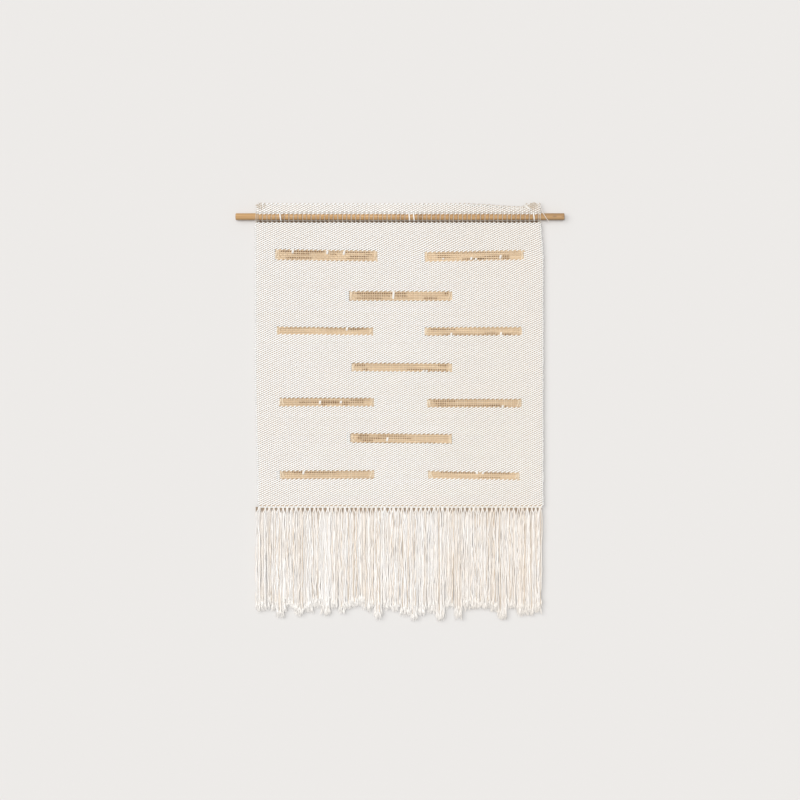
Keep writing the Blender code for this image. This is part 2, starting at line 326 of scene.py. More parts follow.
def reshape(piece, move):             # move takes and gives back the points' coordinates
    piece.data.vertices.foreach_set("co", move(readPlaces(piece)).ravel())
    piece.data.update()


def paleBack(piece, start, end):      # what faces back is as pale as the crests in front
    rear = smoothShare(readPlaces(piece)[:, 1], start, end)
    writeMark(piece, "lift", np.maximum(readMark(piece, "lift"), rear))


# ---- materials

def newMaterial(name):
    material = bpy.data.materials.new(name)
    material.use_nodes = True
    tree = material.node_tree
    return material, tree, tree.nodes["Principled BSDF"]


def mixColours(tree, share, first, second):
    node = addNode(tree, "ShaderNodeMix", data_type="RGBA")
    for number, source in ((0, share), (6, first), (7, second)):
        feed(tree, node.inputs[number], source)
    return node.outputs[2]


def finishShader(tree, shader, colour, roughness, specular):
    feed(tree, shader.inputs["Base Color"], colour)
    feed(tree, shader.inputs["Roughness"], roughness)
    shader.inputs["Specular IOR Level"].default_value = specular


def addBump(tree, shader, height, strength, distance):
    bump = addNode(tree, "ShaderNodeBump", {"Height": height, "Strength": strength, "Distance": distance})
    tree.links.new(bump.outputs[0], shader.inputs["Normal"])


def markNode(tree, name):
    return addNode(tree, "ShaderNodeAttribute", attribute_name=name).outputs["Fac"]


warmingFrom, warmingTo = -0.02, 0.20          # across the cloth, where its colour starts and ends to turn warmer


def twistedYarnGroup():               # spun cotton: slanted plies, fuzz, a colour that drifts, and painted shade where it lies low
    group, ins, outs = startTree("twistedYarn", "ShaderNodeTree", {
        "Crest": ("Color", (0.9, 0.87, 0.82, 1)), "Warm": ("Color", (0.85, 0.8, 0.72, 1)),
        "Shade": ("Color", (0.5, 0.4, 0.3, 1)), "Ply Width": ("Float", 0.0011),
        "Drift Scale": ("Float", 14.0), "Age": ("Float", 0.0)},
        {"Color": "Color", "Roughness": "Float", "Height": "Float"})
    place = addNode(group, "ShaderNodeTexCoord").outputs["Object"]
    cloud = cloudNode(group, place, ins["Drift Scale"], 4.0)["Fac"]
    fuzz = cloudNode(group, place, 900.0, 2.0)["Fac"]
    axes = splitVector(group, place)
    warmedRight = times(group, eased(group, axes["X"], warmingFrom, warmingTo), ins["Age"])
    warm = times(group, plus(group, markNode(group, "tone"), cloud), 0.5)
    crest = mixColours(group, plus(group, warm, warmedRight), ins["Crest"], ins["Warm"])
    # where a yarn's lift is low its colour turns to its last colour: painted shade in pits and hollows
    height = eased(group, markNode(group, "lift"), 0.2, 0.8)
    group.links.new(mixColours(group, height, ins["Shade"], crest), outs["Color"])
    group.links.new(eased(group, fuzz, 0.3, 0.7, 0.86, 0.97), outs["Roughness"])
    slanted = times(group, plus(group, axes["X"], axes["Z"]), 2 * math.pi)
    turns = calc(group, "DIVIDE", slanted, ins["Ply Width"])
    ply = calc(group, "SINE", calc(group, "MULTIPLY_ADD", fuzz, 2.0, turns))
    group.links.new(calc(group, "MULTIPLY_ADD", fuzz, 1.3, ply), outs["Height"])
    return group


def lengthGrainGroup():               # long thin fibres that run along X
    group, ins, outs = startTree("lengthGrain", "ShaderNodeTree", {
        "Along": ("Float", 18.0), "Across": ("Float", 900.0), "Contrast": ("Float", 1.0)},
        {"Grain": "Float", "Streak": "Float"})
    axes = splitVector(group, addNode(group, "ShaderNodeTexCoord").outputs["Object"])
    reaches = (("X", "Along"), ("Y", "Across"), ("Z", "Across"))
    stretched = joinVector(group, *(times(group, axes[axis], ins[label]) for axis, label in reaches))
    fine = cloudNode(group, stretched, 1.0, 5.0)["Fac"]
    wide = cloudNode(group, stretched, 0.28, 2.0)["Fac"]
    spread = times(group, minus(group, fine, 0.5), ins["Contrast"])
    group.links.new(plus(group, spread, 0.5), outs["Grain"])
    group.links.new(eased(group, wide, 0.38, 0.62), outs["Streak"])
    return group


twistedYarn = twistedYarnGroup()
lengthGrain = lengthGrainGroup()


def cottonMaterial(name, finish):
    material, tree, shader = newMaterial(name)
    yarn = addNode(tree, "ShaderNodeGroup", {}, node_tree=twistedYarn)
    for label in ("Crest", "Warm", "Shade"):
        yarn.inputs[label].default_value = (*finish[label], 1.0)
    yarn.inputs["Ply Width"].default_value = finish["ply"]
    yarn.inputs["Age"].default_value = finish["rightWarming"]
    finishShader(tree, shader, yarn.outputs["Color"], yarn.outputs["Roughness"], 0.15)
    shader.inputs["Sheen Weight"].default_value = 0.12
    shader.inputs["Sheen Roughness"].default_value = 0.6
    addBump(tree, shader, yarn.outputs["Height"], finish["bump"], 0.0003)
    return material


# Crest and Warm are the yarns' own colours; the third colour is painted shade, mixed in where a yarn's lift
# is low. The cord under the rod is dark all through as painted shade.
cottons = {
    "weft": {"Crest": (0.895, 0.90, 0.90), "Warm": (0.855, 0.842, 0.815), "Shade": (0.64, 0.56, 0.47),
             "ply": 0.0012, "bump": 0.22, "rightWarming": 0.6},
    "warp": {"Crest": (0.70, 0.64, 0.56), "Warm": (0.58, 0.51, 0.42), "Shade": (0.30, 0.18, 0.09),
             "ply": 0.0010, "bump": 0.3, "rightWarming": 0.0},
    "twine": {"Crest": (0.87, 0.86, 0.84), "Warm": (0.83, 0.80, 0.75), "Shade": (0.6, 0.5, 0.4),
              "ply": 0.0012, "bump": 0.3, "rightWarming": 0.5},
    "tuft": {"Crest": (0.905, 0.885, 0.86), "Warm": (0.86, 0.815, 0.76), "Shade": (0.8, 0.75, 0.68),
             "ply": 0.0016, "bump": 0.0, "rightWarming": 0.5},
    "fringe": {"Crest": (0.898, 0.887, 0.874), "Warm": (0.68, 0.56, 0.43), "Shade": (0.36, 0.27, 0.19),
               "ply": 0.0016, "bump": 0.3, "rightWarming": 0.11},
    "gapShade": {"Crest": (0.13, 0.085, 0.052), "Warm": (0.10, 0.065, 0.04), "Shade": (0.08, 0.05, 0.03),
               "ply": 0.0012, "bump": 0.3, "rightWarming": 0.0},
    "felt": {"Crest": (0.68, 0.60, 0.50), "Warm": (0.54, 0.46, 0.37), "Shade": (0.5, 0.42, 0.33),
             "ply": 0.0012, "bump": 0.3, "rightWarming": 0.0},
}
cottonOf = {name: cottonMaterial(name + "Cotton", finish) for name, finish in cottons.items()}


def groundMaterial():                 # painted shade: a tan-brown sheet that shows in the pits between the wefts
    material, tree, shader = newMaterial("groundShade")
    cloud = cloudNode(tree, addNode(tree, "ShaderNodeTexCoord").outputs["Object"], 300.0, 3.0)["Fac"]
    colour = mixColours(tree, cloud, (0.43, 0.33, 0.24, 1.0), (0.60, 0.49, 0.38, 1.0))
    finishShader(tree, shader, colour, 0.95, 0.1)
    return material


def grainNode(tree, alongRod, across, contrast):
    grain = addNode(tree, "ShaderNodeGroup", {}, node_tree=lengthGrain)
    for label, value in (("Along", alongRod), ("Across", across), ("Contrast", contrast)):
        grain.inputs[label].default_value = value
    return grain.outputs["Grain"], grain.outputs["Streak"]


strawFinish = {"pale": (0.81, 0.65, 0.462), "honey": (0.66, 0.48, 0.295), "streakShadeBrown": (0.22, 0.12, 0.055),
               "cream": (0.82, 0.73, 0.59), "streaks": 0.22}


def strawMaterial(name):              # tone turns it creamy; a low lift turns it brown, painted shade; the same brown darkens its real grain streaks
    material, tree, shader = newMaterial(name)
    grain, streak = grainNode(tree, 60.0, 1500.0, 1.6)
    pale, honey, streakShadeBrown, cream = ((*strawFinish[label], 1.0) for label in ("pale", "honey", "streakShadeBrown", "cream"))
    body = mixColours(tree, grain, pale, honey)
    body = mixColours(tree, times(tree, streak, strawFinish["streaks"]), body, streakShadeBrown)
    body = mixColours(tree, eased(tree, markNode(tree, "tone"), 0.5, 1.0, 0.0, 0.85), body, cream)
    body = mixColours(tree, eased(tree, markNode(tree, "lift"), 0.0, 1.0, 0.95, 0.0), body, streakShadeBrown)
    finishShader(tree, shader, body, eased(tree, grain, 0.2, 0.8, 0.45, 0.7), 0.3)
    addBump(tree, shader, grain, 0.35, 0.0002)
    return material


groundShade = groundMaterial()
strawSkin = strawMaterial("strawSkin")
print("materials are mixed")


# ---- the loose thread at the right end of the rod

looseThread = {
    "diameter": 0.0011,
    "points": 15,
    "sides": 10,
    "route": ((-0.0020, 0.0000, 0.0228), (0.0008, 0.0012, 0.0168), (0.0026, 0.0031, 0.0104),
              (0.0052, 0.0046, 0.0050), (0.0082, 0.0051, 0.0002), (0.0118, 0.0046, -0.0052),
              (0.0158, 0.0030, -0.0100)),     # right of the cloth's edge, in front of it, height
    "gap": 0.0003,
}


def smoothRoute(stations, count):     # evenly shared points on a smooth curve through the stations
    points = [Vector(p) for p in stations]
    ends = [2 * points[0] - points[1]] + points + [2 * points[-1] - points[-2]]
    route = []
    for i in range(count):
        position = i * (len(points) - 1) / (count - 1)
        k = min(int(position), len(points) - 2)
        t = position - k
        a, b, c, d = ends[k:k + 4]
        route.append(0.5 * (2 * b + (c - a) * t + (2 * a - 5 * b + 4 * c - d) * t ** 2
                            + (3 * b - a - 3 * c + d) * t ** 3))
    return route


def makeLooseThread():
    half = looseThread["diameter"] / 2
    face = -(cloth["face"] + looseThread["gap"] + half)
    stations = [(clothRight + x, face - out, z) for x, out, z in looseThread["route"]]
    route = smoothRoute(stations, looseThread["points"])
    points = [tuple(p) for p in route]
    piece = makeYarns("looseThread", [{"points": points, "tone": 0.2}], (half, half), cottonOf["fringe"],
                      looseThread["sides"], "round")
    settle(piece, "cotton_warp", "heading", "loose_thread")


makeLooseThread()


# ---- light and stage

lights = {                            # direction it comes from, power, width in degrees, colour
    "keyLight": ((-0.47, -0.82, 0.20), 1.55, 50.0, (1.0, 0.99, 0.98)),
    "fillLight": ((-0.02, -0.99, 0.10), 1.66, 26.0, (1.0, 1.0, 1.0)),
    "rearLight": ((0.25, 0.94, 0.22), 0.8, 50.0, (1.0, 0.99, 0.98)),
}
sky = {"power": 0.34, "colour": (1.0, 0.994, 0.985)}


def makeLights():
    for name, (comesFrom, power, width, colour) in lights.items():
        sun = bpy.data.lights.new(name, "SUN")
        sun.energy = power
        sun.angle = math.radians(width)
        sun.color = colour
        addObject(name, sun).rotation_euler = (-Vector(comesFrom)).to_track_quat("-Z", "Y").to_euler()
    world = bpy.data.worlds.new("studio")
    world.use_nodes = True
    background = world.node_tree.nodes["Background"]
    background.inputs["Color"].default_value = (*sky["colour"], 1.0)
    background.inputs["Strength"].default_value = sky["power"]
    bpy.context.scene.world = world
    bpy.context.scene.view_settings.view_transform = "Standard"


stage = {"wallGap": 0.0015, "size": 6.0, "floorZ": -1.30, "wall": (0.660, 0.648, 0.636),
         "floor": (0.84, 0.83, 0.82)}


def plainSheet(name, corners, colour):
    mesh = bpy.data.meshes.new(name)
    mesh.from_pydata(corners, [], [(0, 1, 2, 3)])
    sheet = addObject(name, mesh)
    material, tree, shader = newMaterial(name + "Paint")
    finishShader(tree, shader, (*colour, 1.0), 0.9, 0.1)
    clear = tree.nodes.new("ShaderNodeBsdfTransparent")     # seen through from its back
    side = tree.nodes.new("ShaderNodeNewGeometry")
    mix = tree.nodes.new("ShaderNodeMixShader")
    for number, source in enumerate((side.outputs["Backfacing"], shader.outputs[0], clear.outputs[0])):
        tree.links.new(source, mix.inputs[number])
    tree.links.new(mix.outputs[0], tree.nodes["Material Output"].inputs["Surface"])
    mesh.materials.append(material)
    sheet.visible_shadow = False
    sheet.visible_diffuse = False


def makeStage():
    half = stage["size"] / 2
    wallY = max(cadBounds[0][1], cadBounds[1][1]) + stage["wallGap"]
    low = stage["floorZ"]
    high = low + stage["size"]
    plainSheet("wall", [(-half, wallY, low), (half, wallY, low), (half, wallY, high), (-half, wallY, high)],
               stage["wall"])
    plainSheet("floor", [(-half, -half, low), (half, -half, low), (half, wallY, low), (-half, wallY, low)],
               stage["floor"])


makeLights()
makeStage()
print("lights and stage are set")


# ---- straw inlays: flat strips woven in where the weft leaves off

# How far it drops to the right, how brown it is, open seams (seam, from, to, how wide) and cotton ties
# (along, top, bottom)
inlays = {
    "row1_left": {"drop": 0.0029, "tan": 0.0, "strips": 5,
        "ties": ((0.166, 0.0, 0.38), (0.509, 0.06, 0.42), (0.673, 0.1, 0.45)),
        "open": ((1, 0.05, 0.48, 1.0), (2, 0.17, 0.34, 0.8), (1, 0.52, 0.64, 0.5), (2, 0.52, 0.60, 0.6),
            (1, 0.66, 0.93, 0.6), (2, 0.88, 0.96, 0.5), (4, 0.10, 0.36, 0.75),
            (3, 0.73, 0.92, 0.85), (4, 0.70, 0.92, 0.6))},
    "row1_right": {"drop": -0.0039, "tan": 0.0, "strips": 5,
        "ties": ((0.185, 0.64, 0.80), (0.469, 0.60, 0.92), (0.515, 0.72, 0.98), (0.765, 0.45, 0.84)),
        "open": ((1, 0.10, 0.95, 0.35), (2, 0.12, 0.25, 0.5), (3, 0.12, 0.26, 0.5), (4, 0.38, 0.62, 0.8),
            (4, 0.49, 0.60, 1.1), (3, 0.60, 0.77, 0.6), (4, 0.62, 0.78, 0.6), (3, 0.79, 0.86, 1.1),
            (4, 0.79, 0.86, 1.1))},
    "row2_centre": {"drop": 0.0, "tan": 0.11, "strips": 4, "ties": ((0.426, -0.03, 0.86),),
        "open": ((1, 0.06, 0.42, 0.7), (1, 0.44, 0.56, 0.7), (2, 0.10, 0.40, 0.6), (2, 0.44, 0.56, 0.8),
            (3, 0.06, 0.32, 0.6), (3, 0.72, 0.86, 0.75), (1, 0.93, 0.98, 0.8))},
    "row3_left": {"drop": 0.0020, "tan": 0.11, "strips": 4, "ties": ((0.733, -0.06, 0.42),),
        "open": ((0, 0.10, 0.40, 0.35), (0, 0.42, 0.71, 0.7), (0, 0.755, 0.94, 1.1),
            (1, 0.755, 0.86, 0.6))},
    "row3_right": {"drop": -0.0010, "tan": 0.11, "strips": 4,
        "ties": ((0.272, 0.66, 1.15), (0.788, 0.62, 1.12)),
        "open": ((1, 0.06, 0.32, 0.45), (4, 0.18, 0.76, 0.8), (4, 0.80, 0.90, 1.2),
            (3, 0.62, 0.74, 0.5))},
    "row4_centre": {"drop": 0.0010, "tan": 0.11, "strips": 4,
        "ties": ((0.715, 0.78, 1.10), (0.745, 0.78, 1.10)),
        "open": ((1, 0.02, 0.14, 0.6), (3, 0.55, 0.95, 0.55), (4, 0.70, 0.98, 1.0), (1, 0.86, 0.95, 0.6),
            (3, 0.10, 0.16, 0.7))},
    "row5_left": {"drop": 0.0, "tan": 0.16, "strips": 4, "ties": ((0.427, 0.28, 0.74), (0.650, 0.30, 0.66)),
        "open": ((2, 0.20, 0.42, 0.55), (2, 0.44, 0.635, 1.15), (2, 0.665, 0.73, 1.0), (2, 0.73, 0.9, 0.5),
            (3, 0.44, 0.50, 0.7), (3, 0.665, 0.73, 0.6), (1, 0.75, 0.9, 0.5))},
    "row5_right": {"drop": 0.0, "tan": 0.24, "strips": 4, "ties": ((0.800, 0.70, 1.15),),
        "open": ((1, 0.06, 0.30, 0.45), (2, 0.08, 0.20, 0.5), (3, 0.10, 0.75, 0.4), (3, 0.66, 0.78, 0.6),
            (4, 0.74, 0.79, 1.0), (4, 0.81, 0.84, 1.2))},
    "row6_centre": {"drop": 0.0020, "tan": 0.11, "strips": 4, "ties": ((0.362, 0.38, 0.86),),
        "open": ((2, 0.06, 0.12, 1.1), (2, 0.12, 0.36, 0.7), (2, 0.37, 0.60, 0.45), (3, 0.10, 0.22, 0.8),
            (1, 0.08, 0.18, 0.8), (1, 0.26, 0.55, 0.4), (4, 0.68, 0.84, 0.5))},
    "row7_left": {"drop": -0.0010, "tan": 0.11, "strips": 4, "ties": ((0.246, -0.02, 0.46),),
        "open": ((0, 0.02, 0.09, 0.9), (0, 0.11, 0.235, 1.1), (0, 0.26, 0.95, 0.6), (1, 0.14, 0.24, 0.6),
            (1, 0.26, 0.60, 0.45))},
    "row7_right": {"drop": 0.0029, "tan": 0.11, "strips": 4,
        "ties": ((0.535, -0.12, 0.30), (0.600, -0.12, 0.28)),
        "open": ((0, 0.13, 0.53, 1.0), (0, 0.605, 0.90, 1.0), (3, 0.55, 0.80, 0.3))},
}
slant = {"aside": 0.030, "above": 0.026}      # how far round an inlay the cloth runs with its slant
strip = {"halfDepth": 0.00024, "depthSway": 0.00042, "openEach": 0.00115, "y": -0.00025, "back": 0.0011,
         "ragged": 0.0012, "pastLeft": 0.0012, "pastRight": 0.0010, "lap": 1.10, "stir": 0.00012,
         "seamEase": 0.008, "topShade": 0.18, "lowShade": 0.08, "openShade": 0.35, "endTone": 0.72}
fold = {"perEnd": 2, "first": 0.0024, "apart": 0.0022, "lean": 0.007, "bow": 0.0014, "out": 0.0009,
        "bulge": 0.0006, "halfDepth": 0.00026, "halfWidth": 0.0015, "steps": 8}
rib = {"radius": 0.00060, "sway": 0.00045, "y": -0.00065, "steps": 5, "past": 0.0020, "stir": 0.0003}
tie = {"radius": 0.00095, "apart": 0.0009, "out": 0.0021, "root": 0.0006, "lean": 0.0012, "steps": 8}


def inlayBox(name):                   # the inlay set level: its ends, top and bottom
    low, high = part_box("inlay_" + name)
    slack = abs(inlays[name]["drop"]) / 2
    return low.x, high.x, high.z - slack, low.z + slack


def leanWithInlays(places):           # the cloth and the straw run with each inlay's slant
    x, z = places[:, 0], places[:, 2]
    shift = np.zeros(len(places))
    for name, inlay in inlays.items():
        left, right, top, bottom = inlayBox(name)
        width = right - left
        share = np.clip((x - (left + right) / 2) / width, -0.5, 0.5)
        aside = np.abs(x - (left + right) / 2) - width / 2
        above = np.abs(z - (top + bottom) / 2) - (top - bottom) / 2
        near = (1 - smoothShare(aside, 0.0, slant["aside"])) * (1 - smoothShare(above, 0.0, slant["above"]))
        shift += inlay["drop"] * share * near
    moved = places.copy()
    moved[:, 2] -= shift
    return moved


def openness(inlay, seam, share):     # how far a seam between two strips gapes at a place
    widest, ease = 0.0, strip["seamEase"]
    for number, start, end, amount in inlay["open"]:
        if number == seam:
            inside = smoothShare(share, start - ease, start + ease)
            inside = inside * (1 - smoothShare(share, end - ease, end + ease))
            widest = max(widest, amount * inside * (0.82 + 0.36 * waver(share * 40, seam * 3.1)))
    return widest


def straight(steps, x, z, endX, endZ):        # a line of points behind the straw
    return along(steps, lambda t: (x + (endX - x) * t, strip["back"], z + (endZ - z) * t))


def inlayStrips(name, inlay, dice):   # one long straw that runs to and fro
    left, right, top, bottom = inlayBox(name)
    rows = inlay["strips"]
    pitch = (top - bottom) / rows
    strands = []
    for row in range(rows):
        points, girth, tone, lift = [], [], [], []
        startX = left - strip["pastLeft"] + dice.random() * strip["ragged"]
        endX = right + strip["pastRight"] - dice.random() * strip["ragged"]
        steps = round((endX - startX) / (warpPitch / 2))
        shade = inlay["tan"] + {0: strip["topShade"], rows - 1: strip["lowShade"]}.get(row, 0.0)
        for i in range(steps + 1):
            x = startX + (endX - startX) * i / steps
            share = (x - left) / (right - left)
            upper, lower = openness(inlay, row, share), openness(inlay, row + 1, share)
            shut = pitch / 2 * strip["lap"] - (upper + lower) * strip["openEach"] / 2
            wave = math.cos(math.pi * (x - clothLeft) / warpPitch + math.pi * row)
            middle = top - (row + 0.5) * pitch + (lower - upper) * strip["openEach"] / 2
            middle += strip["stir"] * waver(x * 60, row)
            points.append((x, strip["y"] + strip["depthSway"] * wave, middle))
            girth.append(shut / (pitch / 2) * (0.97 + 0.06 * waver(x * 130, row * 2.0, 5.0)))
            atEnd = min(i, steps - i) < 3
            tone.append(strip["endTone"] if atEnd else 0.25 + 0.5 * max(0.0, waver(x * 30, row * 1.7)))
            lift.append(1.0 - shade - strip["openShade"] * max(upper, lower))
        strands.append({"points": points, "girth": girth, "tone": tone, "lift": lift})
    for z in (top + 0.0003, bottom - 0.0003):              # straw that runs on behind the cloth's edges, partly browned as painted shade
        strands.append({"points": straight(40, left, z, right, z), "girth": 0.7, "tone": 0.0, "lift": 0.35})
    for x in (left + 0.0004, right - 0.0004):
        strands.append({"points": straight(8, x, top, x, bottom), "girth": 1.1, "tone": 0.0, "lift": 0.5})
    for seam, start, end, _ in inlay["open"]:              # straw behind the open seams, dark brown as painted shade in the gaps
        z = top - min(max(seam, 0.25), rows - 0.25) * pitch
        first, last = left + (right - left) * start, left + (right - left) * end
        steps = max(3, round((end - start) * (right - left) / warpPitch))
        strands.append({"points": straight(steps, first, z, last, z), "girth": 0.8, "tone": 0.0,
                        "lift": 0.0})
    return makeYarns("strips_" + name, strands, (strip["halfDepth"], pitch / 2), strawSkin)


def plump(t):                         # widest in the middle
    return 0.5 + 0.5 * math.sin(math.pi * (0.15 + 0.7 * t))


def inlayFolds(name, dice):           # the turned-back straw ends, pale and ragged
    left, right, top, bottom = inlayBox(name)
    folds = []
    for end, inward in ((left, 1.0), (right, -1.0)):
        for k in range(fold["perEnd"]):
            lean = (dice.random() - 0.35) * fold["lean"]
            base = end + inward * (fold["first"] + fold["apart"] * k)
            high = top - 0.0008 - dice.random() * 0.002
            low = bottom + 0.0004 + dice.random() * 0.003

            def place(t):
                bow = math.sin(math.pi * t)
                return (base + inward * (lean * t - fold["bow"] * bow),
                        -fold["out"] - fold["bulge"] * bow - 0.0002 * k, high + (low - high) * t)

            folds.append({"points": along(fold["steps"], place), "girth": along(fold["steps"], plump),
                          "tone": 0.60 + 0.22 * dice.random(), "lift": 0.93})
    return makeYarns("folds_" + name, folds, (fold["halfDepth"], fold["halfWidth"]), strawSkin)


def inlayRibs(name, dice):            # the warps, coloured like the straw
    left, right, top, bottom = inlayBox(name)
    rows = inlays[name]["strips"]
    first = math.ceil((left - clothLeft) / warpPitch)
    last = math.floor((right - clothLeft) / warpPitch)
    ribs = []
    for number in range(first, last + 1):
        drift = rib["stir"] * (dice.random() - 0.5)

        def place(t):
            z = top + rib["past"] - (top - bottom + 2 * rib["past"]) * t
            row = (top - z) * rows / (top - bottom) - 0.5
            return (warpX(number, z) + drift + 0.0002 * waver(z * 300, number),
                    rib["y"] - rib["sway"] * math.cos(math.pi * (row + number)), z)

        ribs.append({"points": along(rows * rib["steps"] + 4, place), "tone": 0.45 + 0.3 * dice.random(),
                     "lift": 0.86 + 0.14 * dice.random()})
    return makeYarns("ribs_" + name, ribs, (rib["radius"], rib["radius"]), strawSkin, 5)


def inlayTies(name, inlay):           # short doubled cotton threads that cross the straw
    left, right, top, bottom = inlayBox(name)
    ties = []
    for share, start, end in inlay["ties"]:
        for side in (-1, 1):
            x = left + (right - left) * share + side * tie["apart"]

            def place(t):
                return (x - tie["lean"] * (t - 0.5),
                        tie["root"] - (tie["out"] + tie["root"]) * math.sin(math.pi * (0.08 + 0.84 * t)),
                        top + (bottom - top) * (start + (end - start) * t))

            ties.append({"points": along(tie["steps"], place), "tone": 0.1, "lift": 1.0})
    return makeYarns("ties_" + name, ties, (tie["radius"], tie["radius"]), cottonOf["twine"], 8)


def joinPieces(name, pieces):
    with bpy.context.temp_override(active_object=pieces[0], selected_editable_objects=pieces,
                                   selected_objects=pieces):
        bpy.ops.object.join()
    pieces[0].name = name
    pieces[0].data.name = name
    return pieces[0]


def makeInlays():
    made = []
    for number, (name, inlay) in enumerate(inlays.items()):
        dice = random.Random(40 + number)
        straw = joinPieces("straw_" + name, [inlayStrips(name, inlay, dice), inlayFolds(name, dice),
                                             inlayRibs(name, dice)])
        paleBack(straw, 0.0011, 0.0013)
        reshape(straw, leanWithInlays)
        ties = inlayTies(name, inlay)
        reshape(ties, leanWithInlays)
        made.append(settle(straw, "straw", "panel", "inlay_" + name))
        made.append(settle(ties, "cotton_weft", "panel"))
    return made


inlayPieces = makeInlays()
print("straw inlays are woven in")


# ---- the weave: every pick is a yarn that goes over and under the warps

weave = {
    "stepsPerWarp": 3, "sides": 6, "bands": 7,
    "sway": 0.00105,          # how far a yarn swings to the front and to the back
    "forward": 0.3,           # how much more it shows in front
    "halfHeight": 0.00152, "halfDepth": 0.00082,
    "waist": 0.68,            # its girth where it passes between two warps
    "crown": 0.7,             # below 1 makes the floats' tops flatter
    "slant": 0.00112, "slantLeast": 0.72, "slantMost": 1.06,
    "wander": 0.0016, "stir": 0.0008, "driftScale": 11.0,
    "topGap": 0.0014, "endGap": -0.0002,
    "paleFrom": 0.0005, "paleTo": 0.0011,     # depths where the back turns pale
}
weftPitch = (panelLength - weave["topGap"] - weave["endGap"]) / (cloth["picks"] - 1)
weaveTop = hingeZ - weave["topGap"]


def inlayPatches():                   # flat patches where straw takes the weft's place
    bm = bmesh.new()
    for name in inlays:
        left, right, top, bottom = inlayBox(name)
        corners = ((left, top), (right, top), (right, bottom), (left, bottom))
        bm.faces.new([bm.verts.new((x, 0.0, z)) for x, z in corners])
    return addMesh("strawPatches", bm)


